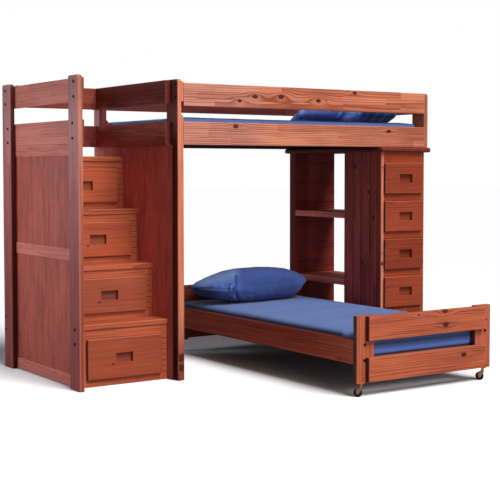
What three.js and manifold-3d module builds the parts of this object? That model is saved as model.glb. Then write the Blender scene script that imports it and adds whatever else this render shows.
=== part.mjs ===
// A pine loft bed with a stair tower of drawers at its left end, a chest and bookcase unit
// under its right end, and a second bed on casters that rolls out from below it.
// Millimetres. X runs along the loft, Y from the front towards the back, Z up from the floor.
import * as THREE from "three";
import { mergeVertices } from "three/addons/utils/BufferGeometryUtils.js";
import Module from "manifold-3d";

const wasm = await Module();
wasm.setup();

// Lumber
const stock = 32; // thickness of posts and rails
const postW = 128;
const railH = 140;
const ease = 5; // rounding along the edges of the lumber
const postTopR = 16;
const innerTopR = 18; // rounding of the left posts' tops towards the inside of the tower
const seam = 0.3; // gap left where two pieces meet
const ply = 12; // side and back panels
const embed = 2; // how far glued pieces of one body run into each other

// Stair tower
const towerW = 686;
const towerD = 1104;
const postH = 1820;
const railDrop = 20; // top of the front and end upper rails below the posts' tops
const leftRailDrop = 12; // and of the tower's left one
const backRailDrop = 3; // and of the back ones and the tower's right one
const railGap = 93; // between an upper and a lower rail
const leftRailInset = 50; // front end of the left rails behind the post's front edge
const rightRailInset = 82;
const backRailInset = 63; // rear face of the tower's back rails before the posts' rear faces
const panelInset = 52;
const panelFloorGap = 6;
const battenH = 66;
const battenProud = 4;
const midBattenTop = 813;
const stiffenerT = 15; // board on the right post, carries the long rails
const stiffenerOver = 38; // top of that board above the lower rail
const stiffenerR = 12;
const blockH = 121; // short board above it, beside the upper rail
const blockDrop = 12; // its top below the post's top

// Stairs
const steps = 4;
const firstRise = 371;
const landingDrop = 66; // top step below the lower rails
const firstNose = 100;
const topTreadDepth = 385;
const treadT = 33;
const noseOver = 8; // nose in front of the face frame
const frameT = 20;
const stairStile = 46.4; // frame in view at each side of a drawer front
const frontDrop = 45; // from the underside of a tread to the drawer front below it
const frontFoot = 37; // from a tread up to the drawer front above it
const firstFrontDrop = 54;
const firstFrontFoot = 42;
const drawerBackGap = 17; // behind the stair drawers
const baseT = 12;
const baseLift = 12;

// Drawers
const frontT = 19;
const frontEase = 6;
const overlay = 12; // how far a front covers the frame around its opening
const slideGap = 3; // between a drawer box and its opening at each side
const boxDrop = 8; // top of a drawer box below the top of its opening
const boxWall = 12;
const boxFloor = 8;
const pullW = 114;
const pullH = 59;
const pullDepth = 22;
const stairPullShift = [-7, -8, 10, 11]; // middle of each pull to the right of its front's middle
const chestPullShift = 15;
const runnerW = 26;

// Loft
const loftRailL = 1938;
const slatCount = 10;
const slatW = 70;
const slatT = 19;
const ledgerW = 30;
const ledgerH = 20;
const ledgerLift = 3; // bottom of the loft's ledgers above the bottom of the lower rails
const loftMattressH = 131;
const loftMattressEnd = 5; // from the tower's boards and from the end rails to the mattress
const mattressSide = 3;

// End unit
const unitW = 387;
const unitEndGap = 2.6; // from the unit's right side to the loft's end posts
const unitBackInset = 58; // behind the unit, below its top board
const chestD = 394;
const unitTopT = 33;
const topOverFront = 30;
const topOverLeft = 11;
const topOverRight = 40;
const bullnose = 12;
const wallT = 16;
const grooveW = 7;
const grooveDepth = 3;
const grooveYs = [42, 118, 212, 300]; // joints between the planks of the side wall
const chestDrawers = 5;
const chestStile = 23.5; // frame in view at each side of a drawer front
const chestTopRail = 74.7; // frame above the uppermost front
const chestRail = 50; // frame between two fronts
const chestFoot = 79; // floor to the lowest front
const chestBackGap = 42; // from a drawer to the chest's back panel
const shelfT = 40;
const shelfTops = [973, 500];
const plinthTop = 80;
const plinthT = 40;
const endPanelT = 18;
const endStileW = 70;
const endStileT = 32;
const endPanelBack = 28; // rear face of the panel in front of the stiles' rear faces

// Rolling bed
const rollW = 1044;
const rollL = 2119;
const rollGap = 2; // between the bed and the end unit
const rollBackInset = 42; // headboard in front of the loft's back
const rollPostZ = 79;
const rollPostH = 381;
const boardLeftInset = 63; // ends of the boards from the outer edges of the posts
const boardRightInset = 71;
const lowBoardZ = 85;
const highBoardZ = 318;
const sideRailZ = 186;
const rollLedgerZ = 180;
const rollMattressH = 140;
const rollMattressEnd = 11;

// Casters
const wheelR = 25;
const wheelW = 20;
const axleR = 4;
const axleGap = 0.1;
const wheelSides = 20;
const casterInset = 46; // swivels from the outer edges of the posts
const casterTurn = Math.PI / 4;
const trail = 18; // axle behind the swivel
const forkT = 2.5;
const forkGap = 1.5; // between the wheel and each side of the fork
const forkCrownGap = 6; // between the wheel and the fork's crown
const forkEyeWall = 5; // metal around the axle
const axleOver = 2; // axle past each side of the fork
const plateT = 4; // plate under the post
const plateR = 20;
const stemR = 8;
const forkBend = 12; // rear bend of a cheek below its crown
const tyreRound = 5;
const tyreRoundMid = 1.5; // depth of that rounding at its middle
const swivelGap = 0.5;

// Bedding
const mattressCornerR = 34; // in plan
const mattressTopR = 12; // least radius of the corners towards the top
const waist = 6; // how far the sides pull in at half the height
const waistRise = 10; // waist below that half height
const sideBow = 3; // how far the middle of a side lies inside its ends
// Pairs of inset from the side and height above the underside, then depth below the top
const mattressFoot = [[160, 0], [20, 0], [5, 5], [0, 18]];
const mattressCrown = [[0, 34], [5, 19], [16, 9], [34, 4], [90, 1], [160, 0]];
const softGap = 0.5;
const pillowW = 440;
const pillowSquareness = 4; // exponent of the pillows' outline, 2 being an ellipse
const pillowUnderside = 4.3; // exponents of the profiles, the higher the flatter
const pillowTop = 3.6;
const pillowShoulder = 0.63;
const cornerThinning = 0.3;
const lowPillow = { fromHead: 246.4, aside: -32, room: 75.4, turn: 5.5, below: 108, above: 116 };
const highPillow = { fromHead: 230.3, aside: 36, room: 135.4, turn: -86.6, below: 62, above: 106 };

// Heights and places that follow
const railTop = postH - railDrop;
const upperZ = railTop - railH;
const leftRailTop = postH - leftRailDrop;
const backRailTop = postH - backRailDrop;
const lowerTop = upperZ - railGap;
const lowerZ = lowerTop - railH;
const rightPostX = towerW - stock;
const loftX = towerW + stiffenerT + seam; // left ends of the long rails
const endPostX = loftX + loftRailL + seam;
const loftInside = towerD - 2 * (stock + seam); // between the front and back rails
const panelX = stock + seam; // outer face of the left panel's battens
const stairX0 = panelX + battenProud + ply + seam;
const stairX1 = rightPostX - seam - ply - seam;
const stairMidX = (stairX0 + stairX1) / 2;
const stairFrontW = stairX1 - stairX0 - 2 * stairStile;
const stairBackY = towerD - panelInset - ply;
const rise = (lowerZ - landingDrop - firstRise) / (steps - 1);
const going = (stairBackY - topTreadDepth - firstNose) / (steps - 1);
const stairFrontH = rise - treadT - frontDrop - frontFoot;
const firstFrontH = firstRise - treadT - firstFrontDrop - firstFrontFoot;
const stairDrawerDepth = topTreadDepth - noseOver - drawerBackGap;
const unitX = endPostX - unitEndGap - unitW;
const unitD = towerD - unitBackInset;
const unitTopZ = lowerZ - seam;
const chestFirstTop = unitTopZ - unitTopT - chestTopRail;
const chestFrontH = (chestFirstTop - chestFoot + chestRail) / chestDrawers - chestRail;
const chestPitch = chestFrontH + chestRail;
const chestFrontW = unitW - 2 * chestStile;
const chestDrawerDepth = chestD - ply - chestBackGap;
const rollX = unitX - rollGap - rollW;
const rollBackY = towerD - rollBackInset;
const rollFrontY = rollBackY - rollL; // front face of the footboard's boards
const rollInside = rollW - 2 * (stock + seam);
const rollFootY = rollFrontY + stock + seam; // front face of the foot posts
const rollHeadY = rollBackY - stock - seam; // rear face of the head posts
const boardX0 = rollX + boardLeftInset;
const boardX1 = rollX + rollW - boardRightInset;

const finishes = {
  pine: { color: 0xa9533a, roughness: 0.45, metalness: 0 },
  panel: { color: 0x8f4034, roughness: 0.55, metalness: 0 },
  drawer: { color: 0xa2472c, roughness: 0.45, metalness: 0 },
  inside: { color: 0x8a4a34, roughness: 0.7, metalness: 0 },
  blueCloth: { color: 0x3d5596, roughness: 0.9, metalness: 0 },
  navyCloth: { color: 0x26366f, roughness: 0.9, metalness: 0 },
  copperSteel: { color: 0x6e3d2c, roughness: 0.35, metalness: 0.9 },
  blackWheel: { color: 0x141416, roughness: 0.5, metalness: 0 },
};

// Section axes first, grain last, so that each basis is a proper rotation.
const unit = [new THREE.Vector3(1, 0, 0), new THREE.Vector3(0, 1, 0), new THREE.Vector3(0, 0, 1)];
const along = {
  x: new THREE.Matrix4().makeBasis(unit[1], unit[2], unit[0]),
  y: new THREE.Matrix4().makeBasis(unit[2], unit[0], unit[1]),
  z: new THREE.Matrix4(),
};

const bed = new THREE.Group();

function addMesh(name, geometry, finish, parent = bed) {
  const mesh = new THREE.Mesh(geometry, new THREE.MeshStandardMaterial(finishes[finish]));
  mesh.name = name;
  parent.add(mesh);
  return mesh;
}

// Outlines and plain solids

function roundedRect(w, h, r) {
  const x = w / 2 - r;
  const y = h / 2 - r;
  const quarter = Math.PI / 2;
  const shape = new THREE.Shape();
  shape.absarc(x, -y, r, -quarter, 0, false);
  shape.absarc(x, y, r, 0, quarter, false);
  shape.absarc(-x, y, r, quarter, 2 * quarter, false);
  shape.absarc(-x, -y, r, 2 * quarter, 3 * quarter, false);
  shape.closePath();
  return shape;
}

function middle(lo, hi) {
  return new THREE.Vector3(...lo.map((v, i) => (v + hi[i]) / 2));
}

// A length of lumber between two corners, its edges eased along the grain.
function boardGeometry(lo, hi, grain, r = ease) {
  const [w, d, h] = hi.map((v, i) => v - lo[i]);
  const section = { x: [d, h], y: [h, w], z: [w, d] }[grain];
  const length = { x: w, y: d, z: h }[grain];
  const geometry = new THREE.ExtrudeGeometry(roundedRect(...section, r), {
    depth: length,
    bevelEnabled: false,
    curveSegments: 2,
  });
  geometry.translate(0, 0, -length / 2);
  geometry.applyMatrix4(along[grain]);
  return geometry;
}

function board(name, lo, hi, grain, finish = "pine", r = ease) {
  const mesh = addMesh(name, boardGeometry(lo, hi, grain, r), finish);
  mesh.position.copy(middle(lo, hi));
  return mesh;
}

// A slab with all its edges rounded, lying in the plane across the given axis.
function slabGeometry(lo, hi, axis, r, roundness) {
  const [w, d, h] = hi.map((v, i) => v - lo[i]);
  const face = { x: [d, h], y: [h, w], z: [w, d] }[axis];
  const thick = { x: w, y: d, z: h }[axis];
  const geometry = new THREE.ExtrudeGeometry(roundedRect(...face, roundness), {
    depth: thick - 2 * r,
    bevelThickness: r,
    bevelSize: r,
    bevelOffset: -r,
    bevelSegments: 2,
    curveSegments: 2,
  });
  geometry.translate(0, 0, r - thick / 2);
  geometry.applyMatrix4(along[axis]);
  return geometry;
}

function slab(name, lo, hi, axis, r, finish) {
  const mesh = addMesh(name, slabGeometry(lo, hi, axis, r, r + 1), finish);
  mesh.position.copy(middle(lo, hi));
  return mesh;
}

// Solids that are joined or cut

function solidOf(geometry, at = new THREE.Vector3()) {
  const g = geometry.clone();
  g.deleteAttribute("normal");
  g.deleteAttribute("uv");
  g.translate(at.x, at.y, at.z);
  const merged = mergeVertices(g, 1e-3);
  return new wasm.Manifold(
    new wasm.Mesh({
      numProp: 3,
      vertProperties: merged.attributes.position.array,
      triVerts: new Uint32Array(merged.index.array),
    }),
  );
}

function block(lo, hi) {
  const [w, d, h] = hi.map((v, i) => v - lo[i]);
  return solidOf(new THREE.BoxGeometry(w, d, h), middle(lo, hi));
}

function boardSolid(lo, hi, grain, r = ease) {
  return solidOf(boardGeometry(lo, hi, grain, r), middle(lo, hi));
}

function slabSolid(lo, hi, axis, r) {
  return solidOf(slabGeometry(lo, hi, axis, r, r + 1), middle(lo, hi));
}

function join(solids) {
  return solids.reduce((all, one) => all.add(one));
}

function addSolid(name, solid, finish, parent = bed) {
  const { vertProperties, triVerts } = solid.getMesh();
  const geometry = new THREE.BufferGeometry();
  geometry.setAttribute("position", new THREE.BufferAttribute(vertProperties, 3));
  geometry.setIndex(new THREE.BufferAttribute(triVerts, 1));
  geometry.computeVertexNormals();
  return addMesh(name, geometry, finish, parent);
}

// Stair tower

function postSolid(x, y, z, height) {
  const r = postTopR;
  const outline = new THREE.Shape();
  outline.moveTo(0, 0);
  outline.lineTo(postW, 0);
  outline.absarc(postW - r, height - r, r, 0, Math.PI / 2, false);
  outline.absarc(r, height - r, r, Math.PI / 2, Math.PI, false);
  outline.closePath();
  const geometry = new THREE.ExtrudeGeometry(outline, {
    depth: stock - 2 * ease,
    bevelThickness: ease,
    bevelSize: ease,
    bevelOffset: -ease,
    bevelSegments: 2,
    curveSegments: 3,
  });
  geometry.translate(0, 0, ease);
  geometry.applyMatrix4(along.x);
  return solidOf(geometry, new THREE.Vector3(x, y, z));
}

// The left posts' tops are rounded over further on the side that faces the stairs.
function leftPost(y) {
  const r = innerTopR;
  const outline = new THREE.Shape();
  outline.moveTo(0, -seam);
  outline.lineTo(stock, -seam);
  outline.absarc(stock - r, postH - r, r, 0, Math.PI / 2, false);
  outline.lineTo(0, postH);
  outline.closePath();
  const profile = new THREE.ExtrudeGeometry(outline, {
    depth: postW,
    bevelEnabled: false,
    curveSegments: 4,
  });
  profile.rotateX(Math.PI / 2);
  return postSolid(0, y, 0, postH).intersect(solidOf(profile, new THREE.Vector3(0, y + postW, 0)));
}

// The right posts carry two boards on their outer side, against which the long rails end.
function stiffenedPost(y) {
  const x0 = towerW - embed;
  const x1 = towerW + stiffenerT;
  const r = stiffenerR;
  const top = lowerTop + stiffenerOver;
  const outline = new THREE.Shape();
  outline.moveTo(x0, 0);
  outline.lineTo(x1, 0);
  outline.absarc(x1 - r, top - r, r, 0, Math.PI / 2, false);
  outline.lineTo(x0, top);
  outline.closePath();
  const stiffener = new THREE.ExtrudeGeometry(outline, {
    depth: postW - 2 * ease,
    bevelEnabled: false,
    curveSegments: 3,
  });
  stiffener.rotateX(Math.PI / 2);
  const blockTop = postH - blockDrop;
  const short = [x0, y + ease, blockTop - blockH];
  return join([
    postSolid(rightPostX, y, 0, postH),
    solidOf(stiffener, new THREE.Vector3(0, y + postW - ease, 0)),
    boardSolid(short, [x1, y + postW - ease, blockTop], "y"),
  ]);
}

function endRails(side, x, inset, top) {
  const back = towerD - stock - seam;
  board(side + "_upper_rail", [x, inset, top - railH], [x + stock, back, top], "y");
  board(side + "_lower_rail", [x, inset, lowerZ], [x + stock, back, lowerTop], "y");
}

// A plywood sheet with three battens on its outer side; sign is -1 where that side faces -X.
function sidePanel(name, outerX, sign) {
  const battenX = [outerX, outerX - sign * (battenProud + embed)].sort((a, b) => a - b);
  const sheetX = [outerX - sign * battenProud, outerX - sign * (battenProud + ply)].sort((a, b) => a - b);
  const y0 = postW + seam;
  const y1 = towerD - postW - seam;
  const top = lowerZ - seam;
  const sheet = block([sheetX[0], panelInset, panelFloorGap], [sheetX[1], towerD - panelInset, top]);
  const tops = [top, midBattenTop, panelFloorGap + battenH];
  const battens = tops.map((z) => block([battenX[0], y0, z - battenH], [battenX[1], y1, z]));
  addSolid(name, join([sheet, ...battens]), "panel");
}

function tower() {
  addSolid("left_front_post", leftPost(0), "pine");
  addSolid("left_back_post", leftPost(towerD - postW), "pine");
  addSolid("right_front_post", stiffenedPost(0), "pine");
  addSolid("right_back_post", stiffenedPost(towerD - postW), "pine");
  endRails("left", stock + seam, leftRailInset, leftRailTop);
  endRails("right", rightPostX - seam - stock, rightRailInset, backRailTop);
  sidePanel("left_side_panel", panelX, -1);
  sidePanel("right_side_panel", rightPostX - seam + battenProud, 1);
  const y1 = towerD - backRailInset;
  const y0 = y1 - stock;
  const x0 = 2 * (stock + seam);
  const x1 = rightPostX - stock - 2 * seam;
  board("tower_back_upper_rail", [x0, y0, backRailTop - railH], [x1, y1, backRailTop], "x");
  board("tower_back_lower_rail", [x0, y0, lowerZ], [x1, y1, lowerTop], "x");
}

// Drawers

// The cut through a face frame behind a drawer front, and the heights of its two ends.
function openingOf(spec) {
  return {
    x0: spec.midX - spec.frontW / 2 + overlay,
    x1: spec.midX + spec.frontW / 2 - overlay,
    z0: spec.frontZ + overlay,
    z1: spec.frontZ + spec.frontH - overlay,
  };
}

function drawer(name, spec) {
  const { midX, frontW, frontH, frontZ, faceY, depth, pullShift } = spec;
  const frontBack = faceY - seam;
  const frontFace = frontBack - frontT;
  const hole = openingOf(spec);
  const x0 = hole.x0 + slideGap;
  const x1 = hole.x1 - slideGap;
  const z0 = hole.z0 + seam;
  const z1 = hole.z1 - boxDrop;
  const front = slabSolid(
    [midX - frontW / 2, frontFace, frontZ],
    [midX + frontW / 2, frontBack, frontZ + frontH],
    "y",
    frontEase,
  );
  const shell = block([x0, frontBack - embed, z0], [x1, faceY + depth, z1]);
  const inside = block(
    [x0 + boxWall, frontBack + boxWall, z0 + boxFloor],
    [x1 - boxWall, faceY + depth - boxWall, z1 + embed],
  );
  const pullX = midX + pullShift;
  const pullZ = frontZ + frontH / 2;
  const pull = block(
    [pullX - pullW / 2, frontFace - embed, pullZ - pullH / 2],
    [pullX + pullW / 2, frontFace + pullDepth, pullZ + pullH / 2],
  );
  addSolid(name, front.add(shell.subtract(inside)).subtract(pull), "drawer");
}

// Stairs

function stepSpec(k) {
  const top = firstRise + k * rise;
  const floor = k === 0 ? baseLift + baseT + seam : top - rise + seam;
  const frontH = k === 0 ? firstFrontH : stairFrontH;
  const drop = k === 0 ? firstFrontDrop : frontDrop;
  return {
    top,
    floor,
    noseY: firstNose + k * going,
    faceY: firstNose + k * going + noseOver,
    midX: stairMidX,
    frontW: stairFrontW,
    frontH,
    frontZ: top - treadT - drop - frontH,
    depth: stairDrawerDepth,
    pullShift: stairPullShift[k],
  };
}

// One step: the tread, the frame around the drawer below it, and the two runners of that drawer.
function stairStep(k) {
  const spec = stepSpec(k);
  const x0 = stairX0 + seam;
  const x1 = stairX1 - seam;
  const backY = k === steps - 1 ? towerD - panelInset : stairBackY - seam;
  const under = spec.top - treadT;
  const frameBack = spec.faceY + frameT;
  const hole = openingOf(spec);
  const footZ = k === 0 ? seam : spec.floor;
  const tread = boardSolid([x0, spec.noseY, under], [x1, backY, spec.top], "x");
  const face = block([x0, spec.faceY, footZ], [x1, frameBack, under + embed]);
  const opening = block(
    [hole.x0, spec.faceY - embed, hole.z0],
    [hole.x1, frameBack + embed, hole.z1],
  );
  const runners = [hole.x0 - runnerW / 2, hole.x1 - runnerW / 2].map((x) =>
    block([x, frameBack - embed, spec.floor], [x + runnerW, spec.faceY + spec.depth, hole.z0]),
  );
  addSolid("stair_step_" + (k + 1), join([tread, face.subtract(opening), ...runners]), "pine");
}

function stairs() {
  const first = stepSpec(0);
  const last = stepSpec(steps - 1);
  const x0 = stairX0 + seam;
  const x1 = stairX1 - seam;
  const base = block(
    [x0, first.faceY + frameT + seam, baseLift],
    [x1, stairBackY + embed, baseLift + baseT],
  );
  const back = block(
    [x0, stairBackY, baseLift],
    [x1, stairBackY + ply, last.top - treadT - seam],
  );
  addSolid("stair_base_and_back", base.add(back), "panel");
  for (let k = 0; k < steps; k += 1) {
    stairStep(k);
    drawer("stair_drawer_" + (k + 1), stepSpec(k));
  }
}

// Loft

// Slats across two ledgers, as one glued deck; the slats run along the given axis.
function slatDeck(name, lo, hi, slatAxis) {
  const run = slatAxis === "y" ? 0 : 1;
  const cross = 1 - run;
  const slatZ = lo[2] + ledgerH - embed;
  const pieces = [];
  for (const side of [lo[cross], hi[cross] - ledgerW]) {
    const from = [lo[0], lo[1], lo[2]];
    const to = [hi[0], hi[1], lo[2] + ledgerH];
    from[cross] = side;
    to[cross] = side + ledgerW;
    pieces.push(block(from, to));
  }
  const pitch = (hi[run] - lo[run] - slatW) / (slatCount - 1);
  for (let i = 0; i < slatCount; i += 1) {
    const from = [lo[0], lo[1], slatZ];
    const to = [hi[0], hi[1], slatZ + slatT];
    from[run] = lo[run] + i * pitch;
    to[run] = from[run] + slatW;
    pieces.push(block(from, to));
  }
  addSolid(name, join(pieces), "inside");
  return slatZ + slatT;
}

function loft() {
  const backY = towerD - stock;
  const railEnd = loftX + loftRailL;
  for (const [side, y, top] of [["front", 0, railTop], ["back", backY, backRailTop]]) {
    board("loft_" + side + "_upper_rail", [loftX, y, top - railH], [railEnd, y + stock, top], "x");
    board("loft_" + side + "_lower_rail", [loftX, y, lowerZ], [railEnd, y + stock, lowerTop], "x");
  }
  const postZ = unitTopZ + seam;
  addSolid("loft_end_front_post", postSolid(endPostX, 0, postZ, railTop - postZ), "pine");
  addSolid("loft_end_back_post", postSolid(endPostX, towerD - postW, postZ, railTop - postZ), "pine");
  const x1 = endPostX - seam;
  const x0 = x1 - stock;
  const y0 = stock + seam;
  const y1 = backY - seam;
  board("loft_end_upper_rail", [x0, y0, upperZ], [x1, y1, railTop], "y");
  board("loft_end_lower_rail", [x0, y0, lowerZ], [x1, y1, lowerTop], "y");
  const deckLo = [loftX, y0, lowerZ + ledgerLift];
  const deckTop = slatDeck("loft_slat_deck", deckLo, [x0 - seam, y1, deckLo[2]], "y");
  const lo = [loftX + loftMattressEnd, y0 + mattressSide, deckTop + seam];
  const hi = [x0 - loftMattressEnd, y1 - mattressSide, deckTop + seam + loftMattressH];
  mattress("loft_mattress", lo, hi);
  const { fromHead, aside, room } = highPillow;
  const centre = new THREE.Vector3(x0 - fromHead, (y0 + y1) / 2 + aside, hi[2] + softGap);
  pillow("loft_pillow", highPillow, loftInside - room, centre, "navyCloth");
}

// Bedding

// Points around a pad's edge: round corners, and sides that pull in between them.
function padOutline(w, l, r) {
  const cornerSteps = 3;
  const sideSteps = 6;
  const centres = [
    [w / 2 - r, l / 2 - r],
    [r - w / 2, l / 2 - r],
    [r - w / 2, r - l / 2],
    [w / 2 - r, r - l / 2],
  ];
  const corners = centres.map(([x, y], i) =>
    Array.from({ length: cornerSteps + 1 }, (_, j) => {
      const a = (i + j / cornerSteps) * (Math.PI / 2);
      return new THREE.Vector2(x + r * Math.cos(a), y + r * Math.sin(a));
    }),
  );
  const inward = [
    new THREE.Vector2(0, -1),
    new THREE.Vector2(1, 0),
    new THREE.Vector2(0, 1),
    new THREE.Vector2(-1, 0),
  ];
  const points = [];
  corners.forEach((corner, i) => {
    points.push(...corner);
    const from = corner[cornerSteps];
    const to = corners[(i + 1) % corners.length][0];
    for (let j = 1; j < sideSteps; j += 1) {
      const t = j / sideSteps;
      const point = from.clone().lerp(to, t);
      points.push(point.addScaledVector(inward[i], sideBow * Math.sin(Math.PI * t)));
    }
  });
  return points;
}

// A closed skin over rings of points, from the lowest ring to the highest, with a point at each end.
function skin(rings, bottom, top) {
  const count = rings[0].length;
  const points = [bottom, ...rings.flat(), top];
  const faces = [];
  const at = (ring, j) => 1 + ring * count + (j % count);
  for (let j = 0; j < count; j += 1) {
    faces.push(0, at(0, j + 1), at(0, j));
    for (let i = 0; i + 1 < rings.length; i += 1) {
      faces.push(at(i, j), at(i, j + 1), at(i + 1, j + 1));
      faces.push(at(i, j), at(i + 1, j + 1), at(i + 1, j));
    }
    faces.push(points.length - 1, at(rings.length - 1, j), at(rings.length - 1, j + 1));
  }
  const geometry = new THREE.BufferGeometry().setFromPoints(points);
  geometry.setIndex(faces);
  geometry.computeVertexNormals();
  return geometry;
}

function mattress(name, lo, hi) {
  const [w, l, h] = hi.map((v, i) => v - lo[i]);
  const profile = [
    ...mattressFoot,
    [waist, h / 2 - waistRise],
    ...mattressCrown.map(([inset, down]) => [inset, h - down]),
  ];
  const rings = profile.map(([inset, z]) => {
    const r = Math.max(mattressCornerR - inset / 2, mattressTopR);
    const outline = padOutline(w - 2 * inset, l - 2 * inset, r);
    return outline.map((p) => new THREE.Vector3(p.x, p.y, z - h / 2));
  });
  const bottom = new THREE.Vector3(0, 0, -h / 2);
  const top = new THREE.Vector3(0, 0, h / 2);
  const mesh = addMesh(name, skin(rings, bottom, top), "blueCloth");
  mesh.position.copy(middle(lo, hi));
}

// A plump pillow about its seam, flat below where it lies and thinner at its corners.
function pillow(name, { turn, below, above }, length, centre, finish) {
  const around = 40;
  const scales = [0.35, 0.6, 0.78, 0.9, 0.97];
  const outline = Array.from({ length: around }, (_, j) => {
    const a = (j / around) * 2 * Math.PI;
    const reach = (v) => Math.sign(v) * Math.abs(v) ** (2 / pillowSquareness);
    return new THREE.Vector2(reach(Math.cos(a)), reach(Math.sin(a)));
  });
  const ring = (s, height, fullness) =>
    outline.map((p) => {
      const corner = 1 - cornerThinning * (p.x * p.y * s * s) ** 2;
      const z = height * (1 - s ** fullness) ** pillowShoulder * corner;
      return new THREE.Vector3((p.x * s * length) / 2, (p.y * s * pillowW) / 2, z);
    });
  const rings = [
    ...scales.map((s) => ring(s, -below, pillowUnderside)),
    ring(1, 0, 1),
    ...scales.map((s) => ring(s, above, pillowTop)).reverse(),
  ];
  const skinned = skin(rings, new THREE.Vector3(0, 0, -below), new THREE.Vector3(0, 0, above));
  const mesh = addMesh(name, skinned, finish);
  mesh.rotation.z = THREE.MathUtils.degToRad(turn);
  mesh.position.copy(centre).setZ(centre.z + below);
}

// End unit

function chestSpec(k) {
  return {
    midX: unitX + unitW / 2,
    frontW: chestFrontW,
    frontH: chestFrontH,
    frontZ: chestFirstTop - k * chestPitch - chestFrontH,
    faceY: 0,
    depth: chestDrawerDepth,
    pullShift: chestPullShift,
  };
}

// The chest's planked left wall, a plan outline with a V groove at each joint.
function plankedWall(height) {
  const outline = new THREE.Shape();
  outline.moveTo(unitX, 0);
  outline.lineTo(unitX + wallT, 0);
  outline.lineTo(unitX + wallT, chestD);
  outline.lineTo(unitX, chestD);
  for (const y of [...grooveYs].reverse()) {
    outline.lineTo(unitX, y + grooveW / 2);
    outline.lineTo(unitX + grooveDepth, y);
    outline.lineTo(unitX, y - grooveW / 2);
  }
  outline.closePath();
  return solidOf(new THREE.ExtrudeGeometry(outline, { depth: height, bevelEnabled: false }));
}

function chestCase(height) {
  const x1 = unitX + unitW;
  const inX0 = unitX + wallT - embed;
  const inX1 = x1 - wallT + embed;
  const pieces = [
    plankedWall(height),
    block([x1 - wallT, 0, 0], [x1, chestD, height]),
    block([inX0, chestD - ply, 0], [inX1, chestD, height]),
  ];
  let face = block([inX0, 0, 0], [inX1, frameT, height]);
  for (let k = 0; k < chestDrawers; k += 1) {
    const hole = openingOf(chestSpec(k));
    face = face.subtract(block([hole.x0, -embed, hole.z0], [hole.x1, frameT + embed, hole.z1]));
    pieces.push(block([inX0, frameT - embed, hole.z0 - ply], [inX1, chestD - ply + embed, hole.z0]));
  }
  addSolid("chest_case", join([...pieces, face]), "panel");
}

// The unit's rear panel with its stiles, and the bookcase's bottom shelf, as one glued piece.
// The left stile stands in front of the panel, the right one behind the panel's front face.
function bookcaseEnd(height) {
  const x1 = unitX + unitW;
  const stileY = unitD - endStileW;
  const panelBack = unitD - endPanelBack;
  const panelFront = panelBack - endPanelT;
  const shelfZ = plinthTop - plinthT;
  const pieces = [
    block([unitX + endStileT - embed, panelFront, 0], [x1, panelBack, height]),
    block([unitX, stileY, 0], [unitX + endStileT, unitD, height]),
    block([x1 - endStileT, panelBack - embed, 0], [x1, unitD, height]),
    block([unitX, chestD + seam, shelfZ], [x1, stileY + embed, plinthTop]),
    block([unitX + endStileT - embed, stileY, shelfZ], [x1, panelFront + embed, plinthTop]),
  ];
  addSolid("bookcase_end_panel", join(pieces), "panel");
}

// A shelf from the chest's back to the rear panel, notched around the left stile.
function shelf(name, top) {
  const stileY = unitD - endStileW;
  const panelFront = unitD - endPanelBack - endPanelT;
  const lo = [unitX, chestD + seam, top - shelfT];
  const notch = block(
    [lo[0] - embed, stileY - seam, lo[2] - embed],
    [unitX + endStileT + seam, unitD, top + embed],
  );
  addSolid(name, block(lo, [unitX + unitW, panelFront - seam, top]).subtract(notch), "pine");
}

function endUnit() {
  const height = unitTopZ - unitTopT - seam;
  const x1 = unitX + unitW;
  chestCase(height);
  for (let k = 0; k < chestDrawers; k += 1) {
    drawer("chest_drawer_" + (k + 1), chestSpec(k));
  }
  bookcaseEnd(height);
  shelf("bookcase_upper_shelf", shelfTops[0]);
  shelf("bookcase_lower_shelf", shelfTops[1]);
  const lo = [unitX - topOverLeft, -topOverFront, unitTopZ - unitTopT];
  const hi = [x1 + topOverRight, towerD, unitTopZ];
  slab("end_unit_top", lo, hi, "z", bullnose, "pine");
}

// Rolling bed

function footboard() {
  const z1 = rollPostZ + rollPostH;
  const x1 = rollX + rollW;
  for (const [side, x] of [["left", rollX], ["right", x1 - postW]]) {
    board("foot_" + side + "_post", [x, rollFootY, rollPostZ], [x + postW, rollFootY + stock, z1], "z");
  }
  for (const [level, z] of [["lower", lowBoardZ], ["upper", highBoardZ]]) {
    const lo = [boardX0, rollFrontY, z];
    board("foot_" + level + "_board", lo, [boardX1, rollFrontY + stock, z + railH], "x");
  }
}

// The headboard repeats the footboard, its boards glued to the outer faces of its posts.
function headboard() {
  const z1 = rollPostZ + rollPostH;
  const x1 = rollX + rollW;
  const postY = rollHeadY - stock;
  const posts = [rollX, x1 - postW].map((x) =>
    boardSolid([x, postY, rollPostZ], [x + postW, rollHeadY, z1], "z"),
  );
  const boards = [lowBoardZ, highBoardZ].map((z) =>
    boardSolid([boardX0, rollHeadY - embed, z], [boardX1, rollBackY, z + railH], "x"),
  );
  addSolid("headboard", join([...posts, ...boards]), "pine");
}

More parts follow.
